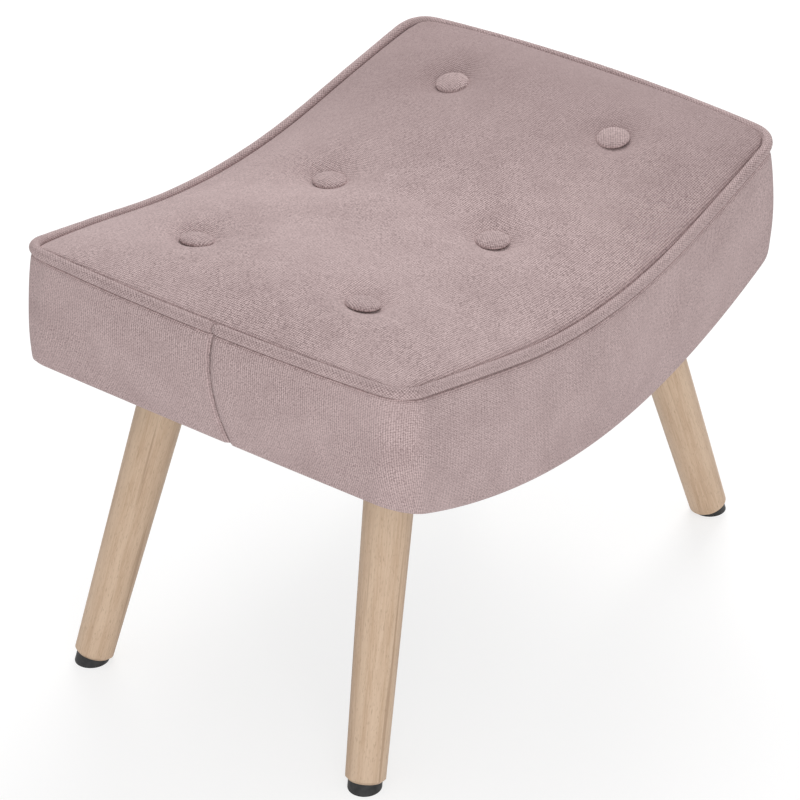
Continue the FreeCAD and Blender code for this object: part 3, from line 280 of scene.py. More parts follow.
def beech(name, side_x, side_y, spin):
    """Pale wood with long grain and short dark pores along one leg's own axis."""
    material, tree, shader = new_material(name)
    turn, shift = leg_turn(side_x, side_y)
    upright = object_place(tree, turn=turn, shift=shift)
    own_side = add_node(tree, "ShaderNodeMapping", {
        "Vector": upright, "Rotation": (0, 0, spin), "Location": (0.013, 0.031 * spin, 0)}).outputs[0]
    long_way = add_node(tree, "ShaderNodeMapping", {
        "Vector": own_side, "Scale": (1, 1, 0.045)}).outputs[0]
    rings = add_node(tree, "ShaderNodeTexWave", {
        "Vector": long_way, "Scale": 26.0, "Distortion": 5.0, "Detail": 2.0,
        "Detail Scale": 1.6, "Detail Roughness": 0.55}, bands_direction="X").outputs["Fac"]
    streaks = grainy(tree, long_way, 150, 3, 0.6)
    fine = grainy(tree, long_way, 900, 2, 0.5)
    clouds = grainy(tree, own_side, 22, 2, 0.5)
    pore_way = add_node(tree, "ShaderNodeMapping", {
        "Vector": own_side, "Scale": (1, 1, 0.13)}).outputs[0]
    pores = grainy(tree, pore_way, 1700, 1, 0.4)
    base = mixed(tree, ramp(tree, rings, 0.2, 0.95), (0.665, 0.492, 0.350), (0.585, 0.412, 0.280))
    base = mixed(tree, ramp(tree, streaks, 0.38, 0.66, 0, 0.55), base, (0.520, 0.355, 0.235))
    base = mixed(tree, ramp(tree, fine, 0.42, 0.62, 0, 0.45), base, (0.735, 0.562, 0.415))
    base = mixed(tree, ramp(tree, clouds, 0.35, 0.75, 0, 0.4), base, (0.720, 0.540, 0.395))
    vein_place = add_node(tree, "ShaderNodeMapping", {
        "Vector": own_side, "Scale": (1, 1, 0.02)}).outputs[0]
    veins = grainy(tree, vein_place, 160, 2, 0.5)
    base = mixed(tree, ramp(tree, veins, 0.62, 0.67, 0, 0.6), base, (0.400, 0.262, 0.170))
    base = mixed(tree, ramp(tree, pores, 0.60, 0.70, 0, 0.5), base, (0.410, 0.275, 0.180))
    tree.links.new(base, shader.inputs["Base Color"])
    shader.inputs["Roughness"].default_value = 0.5
    shader.inputs["Specular IOR Level"].default_value = 0.35
    set_bump(tree, shader, mixed(tree, 0.5, streaks, pores), 0.12, 0.0003)
    return material


for number, corner in enumerate(corners):
    side_x = -1 if "left" in corner else 1
    side_y = -1 if "front" in corner else 1
    leg_wood = beech(f"leg wood {corner}", side_x, side_y, 0.8 + 1.7 * number)
    nodes[f"leg_{corner}"].material_slots[0].material = leg_wood


# Feet: black moulded wedges nailed under the legs, level on the floor. Their black is partly the
# plastic and partly painted shade for the dark gap under each leg's outer edge.

foot_plastic_and_shade, tree, shader = new_material("foot plastic and shade")
foot_cloud = grainy(tree, object_place(tree), 260, 3)
foot_pits = grainy(tree, object_place(tree), 2600, 1)
# Near-black plastic, which also stands in as painted shade under the leg ends.
tree.links.new(
    mixed(tree, ramp(tree, foot_cloud, 0.35, 0.7), (0.012, 0.012, 0.013), (0.030, 0.029, 0.029)),
    shader.inputs["Base Color"])
shader.inputs["Roughness"].default_value = 0.55
shader.inputs["Specular IOR Level"].default_value = 0.4
set_bump(tree, shader, foot_pits, 0.25, 0.0002)
for corner in corners:
    nodes[f"foot_pad_{corner}"].material_slots[0].material = foot_plastic_and_shade


# Boxing: two strips of the cover over the soft foam wrap, sewn together a little forward of the
# middle of each end, sewn to the piping above and turned under the rails below. They belly out.

seam_low = 0.3304
saddle_radius = 0.548
saddle_arc_end = 0.11487
saddle_arc_rise = 0.01217
saddle_slope = math.radians(12.1)
underside_low = 0.2144
underside_radius = 0.555


def saddle_rise(x):
    """Height of the seam line above its lowest point: an arc that runs out into straight tangents."""
    reach = abs(x)
    if reach <= saddle_arc_end:
        return saddle_radius - math.sqrt(saddle_radius ** 2 - reach ** 2)
    return saddle_arc_rise + (reach - saddle_arc_end) * math.tan(saddle_slope)


def seam_height(x):
    return seam_low + saddle_rise(x)


def underside_height(x):
    return underside_low + underside_radius - math.sqrt(underside_radius ** 2 - x ** 2)


level_base = 0.1984
level_span = 0.1892


def through_levels(z, low, middle, top):
    """The value at a height from those at the three levels that shape the belly of the boxing."""
    share = (z - level_base) / level_span
    return (low * (1 - share) * (1 - 2 * share) + middle * 4 * share * (1 - share)
            + top * share * (2 * share - 1))


face_corner = 0.027
arc_handle = 0.5523


def corner_turn(start, start_way, finish, finish_way, share):
    """A rounded corner from one side of the seat to the next."""
    reach = face_corner * arc_handle * 3
    cube = share ** 3
    square = share ** 2
    return (start * (2 * cube - 3 * square + 1) + start_way * reach * (cube - 2 * square + share)
            + finish * (3 * square - 2 * cube) + finish_way * reach * (cube - square))


def bowed(half, straight, bow, along):
    """How far out a bowed side stands at a place along it."""
    return half + bow * (1 - (along / straight) ** 2)


def band_point(share, half_x, half_y, bow_x, bow_y, corner=face_corner):
    """A point of a bowed, round-cornered outline: share 0 is the middle of the left end, 0.5 the
    middle of the right end, and the front side lies between them."""
    straight_x = half_x - corner
    straight_y = half_y - corner
    end_share = 0.091
    corner_share = 0.0245
    mirrored = share > 0.25
    step = 0.5 - share if mirrored else share
    if step <= end_share:
        y = -straight_y * step / end_share
        point = Vector((-bowed(half_x, straight_y, bow_x, y), y))
    elif step >= end_share + corner_share:
        x = -straight_x * (0.25 - step) / (0.25 - end_share - corner_share)
        point = Vector((x, -bowed(half_y, straight_x, bow_y, x)))
    else:
        start = Vector((-half_x, -straight_y))
        start_way = Vector((2 * bow_x / straight_y, -1)).normalized()
        finish = Vector((-straight_x, -half_y))
        finish_way = Vector((1, -2 * bow_y / straight_x)).normalized()
        point = corner_turn(start, start_way, finish, finish_way, (step - end_share) / corner_share)
    return Vector((-point.x, point.y)) if mirrored else point


face_half_x = (0.2475, 0.2575, 0.2506)
face_half_y = (0.1760, 0.1885, 0.1821)
face_bow_x = (0.0005, 0.0014, 0.009)
face_bow_y = (0.012, 0.004, 0.004)


def face_point(share, z, inset=0.0):
    """A point on the face of the boxing at one height, or inside it."""
    point = band_point(
        share,
        through_levels(z, *face_half_x) - inset,
        through_levels(z, *face_half_y) - inset,
        through_levels(z, *face_bow_x),
        through_levels(z, *face_bow_y),
    )
    return Vector((point.x, point.y, z))


under_edge = 0.0042
turn_under = 0.024
strip_thickness = 0.0021
strip_columns = 240
strip_rows = 48
turn_start = 0.80
turn_end = 0.86
upper_plan_height = 0.34
lower_plan_height = 0.22
piping_radius = 0.0043
piping_clearance = 0.0002


def strip_point(share, down):
    """A point on the outside of a strip: down runs from the seam over the belly and under the rail."""
    top_plan = face_point(share, upper_plan_height)
    top = seam_height(top_plan.x) - piping_radius - piping_clearance
    low_plan = face_point(share, lower_plan_height)
    low = underside_height(low_plan.x)
    if down <= turn_start:
        z = top + (low + under_edge - top) * down / turn_start
        return face_point(share, z)
    if down <= turn_end:
        angle = math.pi / 2 * (down - turn_start) / (turn_end - turn_start)
        inset = under_edge * (1 - math.cos(angle))
        plan = face_point(share, low + under_edge, inset)
        return Vector((plan.x, plan.y, low + under_edge * (1 - math.sin(angle))))
    inset = under_edge + (turn_under - under_edge) * (down - turn_end) / (1 - turn_end)
    plan = face_point(share, low + under_edge, inset)
    return Vector((plan.x, plan.y, underside_height(plan.x)))


def object_from(name, shaped):
    """Turns a finished bmesh into a smooth-shaded object."""
    data = bpy.data.meshes.new(name)
    shaped.to_mesh(data)
    shaped.free()
    for face in data.polygons:
        face.use_smooth = True
    return new_object(name, data)


weave_pitch = 0.0019
weft_ratio = 1.12
thread_shade = (0.228, 0.158, 0.157)
thread_light = (0.735, 0.566, 0.560)
# Painted shade: the colour that darkens whole pieces of cover and the right end of the top.
painted_shade = (0.300, 0.212, 0.212)


def velour(name, coordinates="object", turn=0.0, painted_shade_all_over=0.0, painted_shade_to_right=0.0):
    """The cover: a mauve-pink velour with a fine plain weave, a soft nap and faint worn patches.
    One share paints shade over the whole piece, and another paints shade that deepens towards the right
    end."""
    material, tree, shader = new_material(name)
    if coordinates == "object":
        place = object_place(tree, turn=(0, 0, turn))
    else:
        own_map = add_node(tree, "ShaderNodeUVMap", uv_map="cloth")
        place = add_node(tree, "ShaderNodeMapping", {
            "Vector": own_map.outputs[0], "Rotation": (0, 0, turn)}).outputs[0]
    warp = add_node(tree, "ShaderNodeTexWave", {
        "Vector": place, "Scale": band_pitch / weave_pitch, "Distortion": 1.1, "Detail": 2.0,
        "Detail Scale": 3.0}, bands_direction="X").outputs["Fac"]
    weft = add_node(tree, "ShaderNodeTexWave", {
        "Vector": place, "Scale": band_pitch / weave_pitch * weft_ratio, "Distortion": 1.1,
        "Detail": 2.0, "Detail Scale": 3.0}, bands_direction="Y").outputs["Fac"]
    weave = mixed(tree, 0.5, warp, weft)
    fluff = grainy(tree, place, 700, 2, 0.7)
    pits = grainy(tree, place, 520, 2, 0.6)
    nap = grainy(tree, place, 42, 4, 0.62, 0.4)
    patches = grainy(tree, place, 11, 2, 0.5)
    base = mixed(tree, ramp(tree, weave, 0.22, 0.78), thread_shade, thread_light)
    base = mixed(tree, ramp(tree, fluff, 0.42, 0.64, 0, 0.60), base, (0.765, 0.596, 0.590))
    base = mixed(tree, ramp(tree, pits, 0.50, 0.66, 0, 0.62), base, (0.215, 0.148, 0.148))
    base = mixed(tree, ramp(tree, nap, 0.42, 0.66, 0, 0.36), base, (0.385, 0.279, 0.278))
    base = mixed(tree, ramp(tree, patches, 0.38, 0.64, 0, 0.28), base, (0.660, 0.512, 0.506))
    # Painted shade: the whole piece is darkened by this share.
    base = mixed(tree, painted_shade_all_over, base, painted_shade)
    # Painted shade: darker towards the right end, standing in for the light that falls off there.
    if painted_shade_to_right:
        along_shade = add_node(tree, "ShaderNodeSeparateXYZ", {
            "Vector": object_place(tree, turn=(0, 0, math.radians(-20)))}).outputs[0]
        lean = ramp(tree, along_shade, 0.0, 0.19, 0, painted_shade_to_right)
        base = mixed(tree, lean, base, painted_shade)
    tree.links.new(base, shader.inputs["Base Color"])
    shader.inputs["Roughness"].default_value = 0.95
    shader.inputs["Specular IOR Level"].default_value = 0.1
    shader.inputs["Sheen Weight"].default_value = 0.25
    shader.inputs["Sheen Roughness"].default_value = 0.5
    shader.inputs["Sheen Tint"].default_value = (1.0, 0.87, 0.85, 1)
    height = mixed(tree, 0.4, weave, mixed(tree, 0.5, fluff, pits))
    set_bump(tree, shader, height, 0.70, 0.0010)
    return material


strip_cloth = velour("boxing velour", "uv")
seam_dip = 0.0022
seam_reach = 0.0045
seam_forward = 0.0080
seam_swing = 0.0155
seam_return = 0.021
tuck_under = 0.0038
tuck_end = 0.035
facing_x = 0.26
facing_y = 0.19
facing_power = 8
ripple_x = 0.0009
ripple_y = 0.0011
pucker_x = 0.0012
pucker_reach = 0.012


def end_seam(down):
    """How far forward of the middle the seam between the strips runs, as a share of the outline."""
    fall = min(1, down / turn_start)
    return seam_forward - seam_swing * fall + seam_return * fall ** 2


def boxing_strip(name, front):
    """One strip as a closed skin, with its cloth map in metres along and down the strip."""
    strip = bmesh.new()
    bmesh.ops.create_grid(strip, x_segments=strip_columns, y_segments=strip_rows, size=0.5)
    cloth = strip.loops.layers.uv.new("cloth")
    length = 0.86
    depth = 0.15
    corner_fold = 0.198
    fold_width = 0.007
    fold_depth = 0.0020
    for face in strip.faces:
        for loop in face.loops:
            loop[cloth].uv = ((loop.vert.co.x + 0.5) * length, (0.5 - loop.vert.co.y) * depth)
    for vertex in strip.verts:
        along = vertex.co.x + 0.5
        down = 0.5 - vertex.co.y
        start = end_seam(down) if front else -end_seam(down)
        point = strip_point(start + along * (0.5 - 2 * start), down)
        tuck = tuck_under * max(0, 1 - down / tuck_end) ** 2
        facing = Vector(((point.x / facing_x) ** facing_power,
                         (point.y / facing_y) ** facing_power)).normalized() * tuck
        point.x -= math.copysign(facing.x, point.x)
        point.y += facing.y
        to_seam = min(along, 1 - along) * length
        if to_seam < seam_reach:
            point.x -= math.copysign(seam_dip * (1 - to_seam / seam_reach) ** 2, point.x)
        ripple = noise.noise(Vector((along * 24, down * 1.4, 3.1 if front else 7.7)))
        pucker = noise.noise(Vector((along * 9, down * 21, 5.2 if front else 1.4)))
        pucker *= math.exp(-to_seam / pucker_reach)
        if down < turn_start:
            belly = math.sin(math.pi * down / turn_start)
            point.y -= ripple_y * ripple * belly
            point.x += (ripple_x * ripple + pucker_x * pucker) * belly * math.copysign(1, point.x)
            fold = min(abs(along - corner_fold), abs(1 - along - corner_fold)) / fold_width
            inward = fold_depth * math.exp(-fold ** 2) * (1 - down / turn_start) ** 0.7
            point.x -= math.copysign(inward, point.x)
            point.y += inward * 0.5
        vertex.co = point if front else Vector((point.x, -point.y, point.z))
    bmesh.ops.recalc_face_normals(strip, faces=strip.faces)
    outward = sum(face.normal.dot(Vector((0, -1 if front else 1, 0))) for face in strip.faces)
    if outward < 0:
        bmesh.ops.reverse_faces(strip, faces=strip.faces)
    piece = object_from(name, strip)
    piece.data.materials.append(strip_cloth)
    wall = piece.modifiers.new("skin", "SOLIDIFY")
    wall.thickness = strip_thickness
    wall.offset = -1
    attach(piece, "root")
    return piece


strip_front = boxing_strip("boxing_strip_front", True)
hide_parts("boxing_front", "side_wrap")
strip_back = boxing_strip("boxing_strip_back", False)
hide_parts("boxing_back")


# Seat cushion: the crowned foam pad with its wadding under the top panel of the cover, drawn in
# at six tufts. The panel's edge is sewn to the piping all round.

seam_half_x = 0.25
seam_half_y = 0.1825
seam_bow_x = 0.0077
seam_bow_y = 0.0067
seam_corner = 0.024
crown_height = 0.035
crown_half_x = 0.2577
crown_power_x = 5.6
crown_power_y = 3
end_inset = 0.0008
side_inset = 0.0020
tuft_spacing_x = 0.1625
tuft_spacing_y = 0.080
tuft_depth = 0.0105
tuft_flat = 0.0148
tuft_spread = 0.0150
tuft_lean = math.radians(10)
tuft_places = [(column, line) for column in (-1, 0, 1) for line in (-1, 1)]


def seam_half_width(x):
    return seam_half_y + seam_bow_y * (1 - min(1, (x / seam_half_x) ** 2))


def crown_rise(x, y):
    """Height of the pillowed top above the seam line, before the tufts are drawn in."""
    along = 1 - min(1, abs(x) / crown_half_x) ** crown_power_x
    across = 1 - min(1, abs(y) / seam_half_width(x)) ** crown_power_y
    return crown_height * along * across


def crown_top(x, y):
    return seam_height(x) + crown_rise(x, y)


def tuft_dip(x, y):
    """How far the six buttons draw the top down."""
    dip = 0
    for column, line in tuft_places:
        away = math.hypot(x - column * tuft_spacing_x, y - line * tuft_spacing_y)
        reach = max(0, away - tuft_flat)
        dip += tuft_depth * math.exp(-reach / tuft_spread)
    return dip


def seat_plan(across_x, across_y):
    """Maps a square from -1 to 1 to the bowed, round-cornered plan inside the seam."""
    corner = seam_corner
    half_x = seam_half_x - end_inset
    half_y = seam_half_y - side_inset
    x = across_x * half_x
    y = across_y * half_y
    over_x = (abs(x) - (half_x - corner)) / corner
    over_y = (abs(y) - (half_y - corner)) / corner
    if over_x > 0 and over_y > 0:
        round_x = over_x * math.sqrt(1 - over_y ** 2 / 2)
        round_y = over_y * math.sqrt(1 - over_x ** 2 / 2)
        x = math.copysign(half_x - corner + corner * round_x, x)
        y = math.copysign(half_y - corner + corner * round_y, y)
    straight_x = half_x - corner
    straight_y = half_y - corner
    bow_x = seam_bow_x * max(0, 1 - (y / straight_y) ** 2)
    bow_y = seam_bow_y * max(0, 1 - (x / straight_x) ** 2)
    return x * (1 + bow_x / half_x), y * (1 + bow_y / half_y)


cushion_columns = 84
cushion_rows = 62
cushion_floor = 0.0335
edge_drop = 0.0022
edge_drop_width = 0.007
end_lift = 0.0018
end_lift_width = 0.012


def cushion_form():
    """The cushion without its base: a tufted top and sides that go down to the deck."""
    form = bmesh.new()
    bmesh.ops.create_grid(form, x_segments=cushion_columns, y_segments=cushion_rows, size=1)
    edge = [e for e in form.edges if e.is_boundary]
    rim = {vertex for e in edge for vertex in e.verts}
    for vertex in form.verts:
        near_x = 1 - abs(vertex.co.x)
        near_y = 1 - abs(vertex.co.y)
        x, y = seat_plan(vertex.co.x, vertex.co.y)
        side_tuck = max(0, 1 - near_y * seam_half_y / edge_drop_width) ** 2
        end_tuck = max(0, 1 - near_x * seam_half_x / end_lift_width) ** 2
        lift = end_lift * end_tuck * (1 - side_tuck) - edge_drop * side_tuck
        vertex.co = Vector((x, y, crown_top(x, y) - tuft_dip(x, y) + lift))
    down = bmesh.ops.extrude_edge_only(form, edges=edge)["geom"]
    lower = [item for item in down if isinstance(item, bmesh.types.BMVert) and item not in rim]
    for vertex in lower:
        vertex.co.z = seam_height(vertex.co.x) - cushion_floor
    bmesh.ops.recalc_face_normals(form, faces=form.faces)
    if sum(face.normal.z for face in form.faces) < 0:
        bmesh.ops.reverse_faces(form, faces=form.faces)
    return form


def refine(piece):
    """Subdivides the settled cover once, while it has no base yet."""
    finer = piece.modifiers.new("finer", "SUBSURF")
    finer.levels = 1
    finer.render_levels = 1
    coarse = piece.data
    refined = piece.evaluated_get(bpy.context.evaluated_depsgraph_get())
    piece.data = bpy.data.meshes.new_from_object(refined)
    piece.modifiers.remove(finer)
    bpy.data.meshes.remove(coarse)


def close_base(piece):
    """Fills the flat base on the deck with one face."""
    form = bmesh.new()
    form.from_mesh(piece.data)
    bmesh.ops.edgeloop_fill(form, edges=[e for e in form.edges if e.is_boundary])
    bmesh.ops.recalc_face_normals(form, faces=form.faces)
    form.to_mesh(piece.data)
    form.free()


held_depth = 0.008
held_rim = 0.006


def held_points(piece):
    """Names the points that sewing or foam holds: the base, the sides, the rim and the button seats."""
    group = piece.vertex_groups.new(name="held")
    for vertex in piece.data.vertices:
        x, y, z = vertex.co
        at_button = min(math.hypot(x - column * tuft_spacing_x, y - line * tuft_spacing_y)
                        for column, line in tuft_places)
        below = crown_top(x, y) - tuft_dip(x, y) - z
        at_rim = min(seam_half_x - abs(x), seam_half_y - abs(y)) < held_rim
        if below > held_depth or at_button < tuft_flat or at_rim:
            group.add([vertex.index], 1.0, "REPLACE")


def settle(piece, frames, press, most):
    """Lets the cover pull tight over its filling; no point ends further than most from its start."""
    held_points(piece)
    cloth = piece.modifiers.new("settle", "CLOTH")
    cloth.settings.quality = 6
    cloth.settings.mass = 0.25
    cloth.settings.tension_stiffness = 18
    cloth.settings.compression_stiffness = 6
    cloth.settings.bending_stiffness = 0.6
    cloth.settings.vertex_group_mass = "held"
    cloth.settings.use_pressure = True
    cloth.settings.uniform_pressure_force = press
    cloth.settings.effector_weights.gravity = 0
    cloth.point_cache.frame_start = 1
    cloth.point_cache.frame_end = frames
    for frame_number in range(1, frames + 1):
        scene.frame_set(frame_number)
    graph = bpy.context.evaluated_depsgraph_get()
    settled = piece.evaluated_get(graph)
    places = [vertex.co.copy() for vertex in settled.data.vertices]
    piece.modifiers.remove(cloth)
    piece.vertex_groups.clear()
    scene.frame_set(1)
    for vertex, place in zip(piece.data.vertices, places):
        moved = place - vertex.co
        if moved.length > most:
            moved *= most / moved.length
        vertex.co += moved


cushion = object_from("seat_cushion", cushion_form())
# The panel gets painted shade that deepens towards its right end.
cushion.data.materials.append(velour("panel velour", painted_shade_to_right=0.58))
settle_frames = 20
settle_press = 4.0
settle_most = 0.0035
settle(cushion, settle_frames, settle_press, settle_most)
refine(cushion)
close_base(cushion)
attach(cushion, "root")
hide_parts("top_panel", "wadding", "foam_pad")


# Piping: a bias-cut sleeve of the cover round a cord, sewn into the seam between top and boxing.
# Its ends butt over the boxing seam, a little forward of the middle of the left end.

def seam_line_point(along):
    """A point of the piping's centre line, once round the seat from the boxing seam on the left end."""
    share = (along + seam_forward) % 1
    front = share <= 0.5
    plan = band_point(share if front else 1 - share, seam_half_x, seam_half_y,
                      seam_bow_x, seam_bow_y, seam_corner)
    y = plan.y if front else -plan.y
    return Vector((plan.x, y, seam_height(plan.x)))


piping_stations = 420
piping_sides = 20
seam_length = 1.66
sleeve_girth = 0.027
joint_margin = 0.00025
sewn_share = 0.9995
joint_reach = 0.004

piping = bmesh.new()
cloth = piping.loops.layers.uv.new("cloth")
bmesh.ops.create_grid(piping, x_segments=piping_stations, y_segments=piping_sides, size=0.5)
for face in piping.faces:
    for loop in face.loops:
        loop[cloth].uv = ((loop.vert.co.x + 0.5) * seam_length, (loop.vert.co.y + 0.5) * sleeve_girth)
for vertex in piping.verts:
    along = vertex.co.x + 0.5
    round_angle = vertex.co.y * 2 * math.pi
    share = joint_margin + along * sewn_share
    step = 0.0005
    centre = seam_line_point(share)
    ahead = seam_line_point(share + step) - seam_line_point(share - step)
    ahead.normalize()
    outward = ahead.cross(Vector((0, 0, 1))).normalized()
    upward = outward.cross(ahead).normalized()
    swell = 1 + 0.035 * noise.noise(Vector((along * 160, 0.4, 1.9)))
    to_joint = min(along, 1 - along) * seam_length
    if to_joint < joint_reach:
        swell *= 0.80 + 0.20 * math.sqrt(to_joint / joint_reach)
    spread = outward * math.cos(round_angle) - upward * math.sin(round_angle)
    vertex.co = centre + spread * piping_radius * swell
bmesh.ops.remove_doubles(piping, verts=piping.verts, dist=0.00001)
ends = [e for e in piping.edges if e.is_boundary]
bmesh.ops.holes_fill(piping, edges=ends, sides=0)
bmesh.ops.recalc_face_normals(piping, faces=piping.faces)
sleeve = object_from("piping", piping)
# Painted shade darkens the piping all over.
sleeve.data.materials.append(velour("piping velour", "uv", turn=math.radians(45), painted_shade_all_over=0.12))
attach(sleeve, "root")
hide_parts("piping_sleeve", "piping_cord")


# Buttons: low domed shells covered in the same velour, each drawn into its tuft by a waxed twine.

button_radius = 0.014
button_rise = 0.0052
button_rim = 0.0022
button_roll = 0.0005


def tuft_frame(column, line):
    """The place of one button's seat and the way its twine runs up."""
    x = column * tuft_spacing_x
    y = line * tuft_spacing_y
    lean = -column * tuft_lean
    way = Vector((math.sin(lean), 0, math.cos(lean)))
    seat = Vector((x, y, crown_top(x, y))) - way * tuft_depth
    turn = Vector((0, 0, 1)).rotation_difference(way)
    return Matrix.Translation(seat) @ turn.to_matrix().to_4x4()


def button_form():
    """A covered button: a dome over a rolled rim, turned round its own axis."""
    form = bmesh.new()
    dome_steps = 10
    outline = [(0.0012, 0.0002), (button_radius - 0.0022, 0.0002), (button_radius - 0.0006, 0.0007),
               (button_radius, 0.0016), (button_radius - button_roll, button_rim)]
    for step in range(1, dome_steps):
        angle = math.pi / 2 * step / dome_steps
        outline.append(((button_radius - button_roll) * math.cos(angle),
                        button_rim + (button_rise - button_rim) * math.sin(angle)))
    outline.append((0, button_rise))
    profile = [form.verts.new((radius, 0, rise)) for radius, rise in outline]
    rim_edges = [form.edges.new(pair) for pair in zip(profile, profile[1:])]
    bmesh.ops.spin(form, geom=profile + rim_edges, cent=(0, 0, 0), axis=(0, 0, 1),
                   angle=2 * math.pi, steps=48, use_merge=True)
    bmesh.ops.remove_doubles(form, verts=form.verts, dist=0.00001)
    bmesh.ops.recalc_face_normals(form, faces=form.faces)
    return form


for number, (column, line) in enumerate(tuft_places):
    row = "front" if line < 0 else "back"
    form = button_form()
    bmesh.ops.transform(form, matrix=tuft_frame(column, line), verts=form.verts)
    button = object_from(f"covered_button_{column + 2}_{row}", form)
    # Painted shade darkens each button all over.
    button.data.materials.append(velour(
        f"button velour {number + 1}", "object", turn=0.5 + 0.9 * number, painted_shade_all_over=0.10))
    rounder = button.modifiers.new("rounder", "SUBSURF")
    rounder.levels = 1
    rounder.render_levels = 1
    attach(button, "root")
    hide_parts(f"button_{column + 2}_{row}")


# Twines: two-ply waxed cotton, one down from each button through the seat, tied off in a knot
# under a plain plastic washer below the deck.

twine_radius = 0.0009
twine_lay = 1500
twine_top = 0.0028
washer_depth = 0.0034
knot_radius = 0.0024
knot_length = 0.0030
deck_radius = 0.586


def under_deck(x):
    """Height of the underside of the bent deck, which runs square to the saddle line above it."""
    centre = seam_low + saddle_radius
    bend_x = deck_radius * math.sin(saddle_slope)
    if abs(x) <= bend_x:
        return centre - math.sqrt(deck_radius ** 2 - x ** 2)
    return centre - deck_radius * math.cos(saddle_slope) + (abs(x) - bend_x) * math.tan(saddle_slope)


def twine_form(reach):
    """A knot and, standing on it, a twisted cord up to the button; zero is where the button rests."""
    form = bmesh.new()
    rings = 90
    sides = 14
    bmesh.ops.create_grid(form, x_segments=rings, y_segments=sides, size=0.5)
    for vertex in form.verts:
        rise = (vertex.co.x + 0.5) * (twine_top + reach) - reach
        angle = vertex.co.y * 2 * math.pi
        wide = twine_radius * (1 + 0.10 * math.cos(2 * angle - rise * twine_lay))
        vertex.co = Vector((wide * math.cos(angle), wide * math.sin(angle), rise))
    bmesh.ops.remove_doubles(form, verts=form.verts, dist=0.00001)
    bmesh.ops.holes_fill(form, edges=[e for e in form.edges if e.is_boundary], sides=0)
    knot = bmesh.ops.create_uvsphere(form, u_segments=20, v_segments=12, radius=1)["verts"]
    for vertex in knot:
        lump = 1 + 0.08 * math.sin(3 * math.atan2(vertex.co.y, vertex.co.x) + vertex.co.z * 5)
        vertex.co = Vector((vertex.co.x * knot_radius * lump, vertex.co.y * knot_radius * lump,
                            vertex.co.z * knot_length / 2 - reach))
    bmesh.ops.recalc_face_normals(form, faces=form.faces)
    return form


all_twines = bmesh.new()
for column, line in tuft_places:
    seat = tuft_frame(column, line)
    way = seat.to_3x3() @ Vector((0, 0, 1))
    reach = 0.07
    for _ in range(4):
        reach = (seat.translation.z - under_deck(seat.translation.x - way.x * reach)) / way.z
    form = twine_form(reach + washer_depth + knot_length / 2)
    bmesh.ops.transform(form, matrix=seat, verts=form.verts)
    one_twine = bpy.data.meshes.new("one twine")
    form.to_mesh(one_twine)
    form.free()
    all_twines.from_mesh(one_twine)
    bpy.data.meshes.remove(one_twine)
twines = object_from("waxed_twines", all_twines)
waxed, tree, shader = new_material("waxed cotton")
fibre = grainy(tree, object_place(tree, stretch=(1, 1, 0.3)), 2600, 3)
tree.links.new(
    mixed(tree, ramp(tree, fibre, 0.35, 0.65), (0.66, 0.61, 0.50), (0.80, 0.76, 0.66)),
    shader.inputs["Base Color"])
shader.inputs["Roughness"].default_value = 0.7
set_bump(tree, shader, fibre, 0.4, 0.0002)
twines.data.materials.append(waxed)
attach(twines, "root")
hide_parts("button_twines")

washer_plastic, tree, shader = new_material("washer plastic")
washer_cloud = grainy(tree, object_place(tree), 300, 3)
tree.links.new(
    mixed(tree, ramp(tree, washer_cloud, 0.35, 0.7), (0.58, 0.58, 0.55), (0.66, 0.66, 0.63)),
    shader.inputs["Base Color"])
shader.inputs["Roughness"].default_value = 0.5
set_bump(tree, shader, washer_cloud, 0.1, 0.0002)
nodes["twine_washers"].material_slots[0].material = washer_plastic


# Dust cover: a thin black non-woven cloth stapled under the rails and cut out round the legs. It
# hides the frame from below and follows the curve of the underside.

cover_half_x = 0.241
cover_half_y = 0.1735
cover_wall = 0.0007
cover_columns = 192
cover_rows = 138
cover_drop = 0.0005
leg_opening = 0.0215


def cover_height(x):
    return underside_height(x) - cover_drop


def off_leg(point):
    """The nearest leg's axis at the cloth, and the distance from that axis."""
    side_x = math.copysign(1, point.x)
    side_y = math.copysign(1, point.y)
    down = leg_top.z - point.z
    middle = Vector((side_x * (leg_top.x + down * math.tan(splay_x)),
                     side_y * (leg_top.y + down * math.tan(splay_y)), point.z))
    axis = Vector((side_x * math.tan(splay_x), side_y * math.tan(splay_y), -1)).normalized()
    away = point - middle
    return middle, (away - axis * away.dot(axis)).length


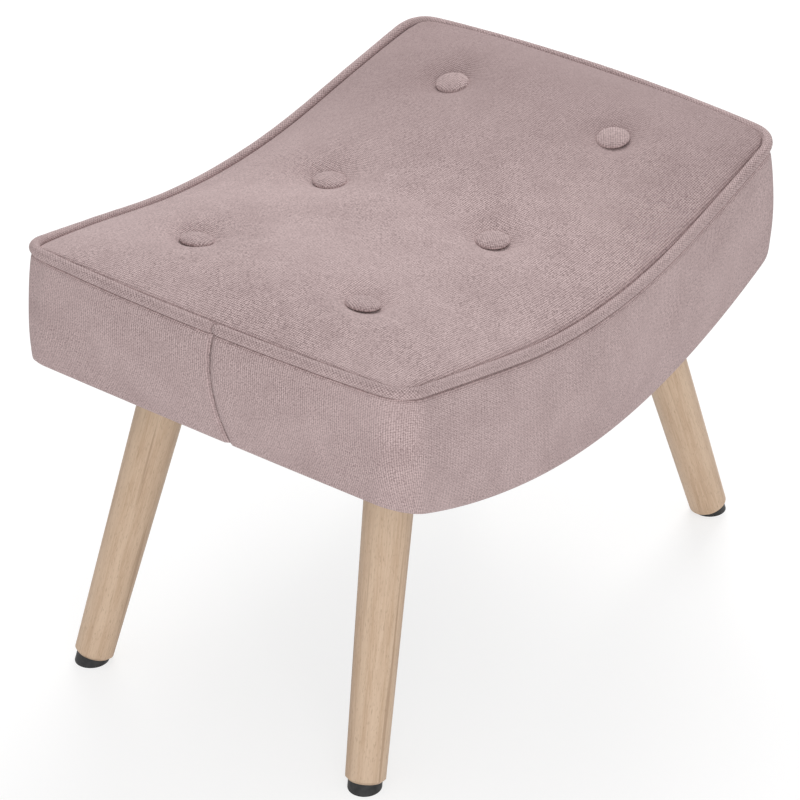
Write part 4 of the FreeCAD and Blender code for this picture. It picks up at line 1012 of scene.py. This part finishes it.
cover_form = bmesh.new()
bmesh.ops.create_grid(cover_form, x_segments=cover_columns, y_segments=cover_rows, size=1)
for vertex in cover_form.verts:
    x = vertex.co.x * cover_half_x
    sag = 0.0004 * noise.noise(Vector((vertex.co.x * 5, vertex.co.y * 4, 2.6)))
    vertex.co = Vector((x, vertex.co.y * cover_half_y, cover_height(x) + min(0, sag)))
in_opening = [face for face in cover_form.faces if off_leg(face.calc_center_median())[1] < leg_opening]
bmesh.ops.delete(cover_form, geom=in_opening, context="FACES")
for vertex in cover_form.verts:
    middle, away = off_leg(vertex.co)
    if vertex.is_boundary and away < 2 * leg_opening:
        moved = middle + (vertex.co - middle) * leg_opening / away
        vertex.co = Vector((moved.x, moved.y, cover_height(moved.x)))
bmesh.ops.recalc_face_normals(cover_form, faces=cover_form.faces)
dust_cover = object_from("dust_cover_cloth", cover_form)
wall = dust_cover.modifiers.new("cloth", "SOLIDIFY")
wall.thickness = cover_wall
wall.offset = 0
black_cloth, tree, shader = new_material("black cloth")
felted = grainy(tree, object_place(tree), 1500, 4, 0.7)
dimples = add_node(tree, "ShaderNodeTexVoronoi", {
    "Vector": object_place(tree), "Scale": 700.0}).outputs[0]
tree.links.new(
    mixed(tree, ramp(tree, felted, 0.35, 0.7), (0.016, 0.016, 0.017), (0.050, 0.050, 0.052)),
    shader.inputs["Base Color"])
shader.inputs["Roughness"].default_value = 0.95
set_bump(tree, shader, mixed(tree, 0.5, felted, dimples), 0.4, 0.0003)
dust_cover.data.materials.append(black_cloth)
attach(dust_cover, "root")
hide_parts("dust_cover")


# Staples: zinc-plated wire staples that hold the dust cover to the rails all round.

staple_length = 0.010
staple_wire = 0.0010
staple_height = 0.0005
staple_inset = 0.006
staple_pitch = 0.040
staples = bmesh.new()


def drive_staple(x, y, along_x):
    """One staple's crown, flat on the cloth and along its edge."""
    steep = math.atan((underside_height(x + 0.001) - underside_height(x - 0.001)) / 0.002)
    lie = Matrix.Translation((x, y, cover_height(x) - 0.0006)) @ Matrix.Rotation(-steep, 4, "Y")
    long_x = staple_length if along_x else staple_wire
    long_y = staple_wire if along_x else staple_length
    shape = lie @ Matrix.Diagonal((long_x, long_y, staple_height, 1))
    bmesh.ops.create_cube(staples, size=1, matrix=shape)


side_count = int(2 * cover_half_x / staple_pitch)
end_count = int(2 * cover_half_y / staple_pitch)
for side in (-1, 1):
    for step in range(side_count):
        x = (step - (side_count - 1) / 2) * staple_pitch
        drive_staple(x, side * (cover_half_y - staple_inset), True)
    for step in range(end_count):
        y = (step - (end_count - 1) / 2) * staple_pitch
        drive_staple(side * (cover_half_x - staple_inset), y, False)
bmesh.ops.bevel(staples, geom=staples.edges[:], offset=0.00015, segments=1, profile=0.5, material=-1,
                affect="EDGES")
staple_row = object_from("cover_staples", staples)
staple_row.data.materials.append(zinc)
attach(staple_row, "root")
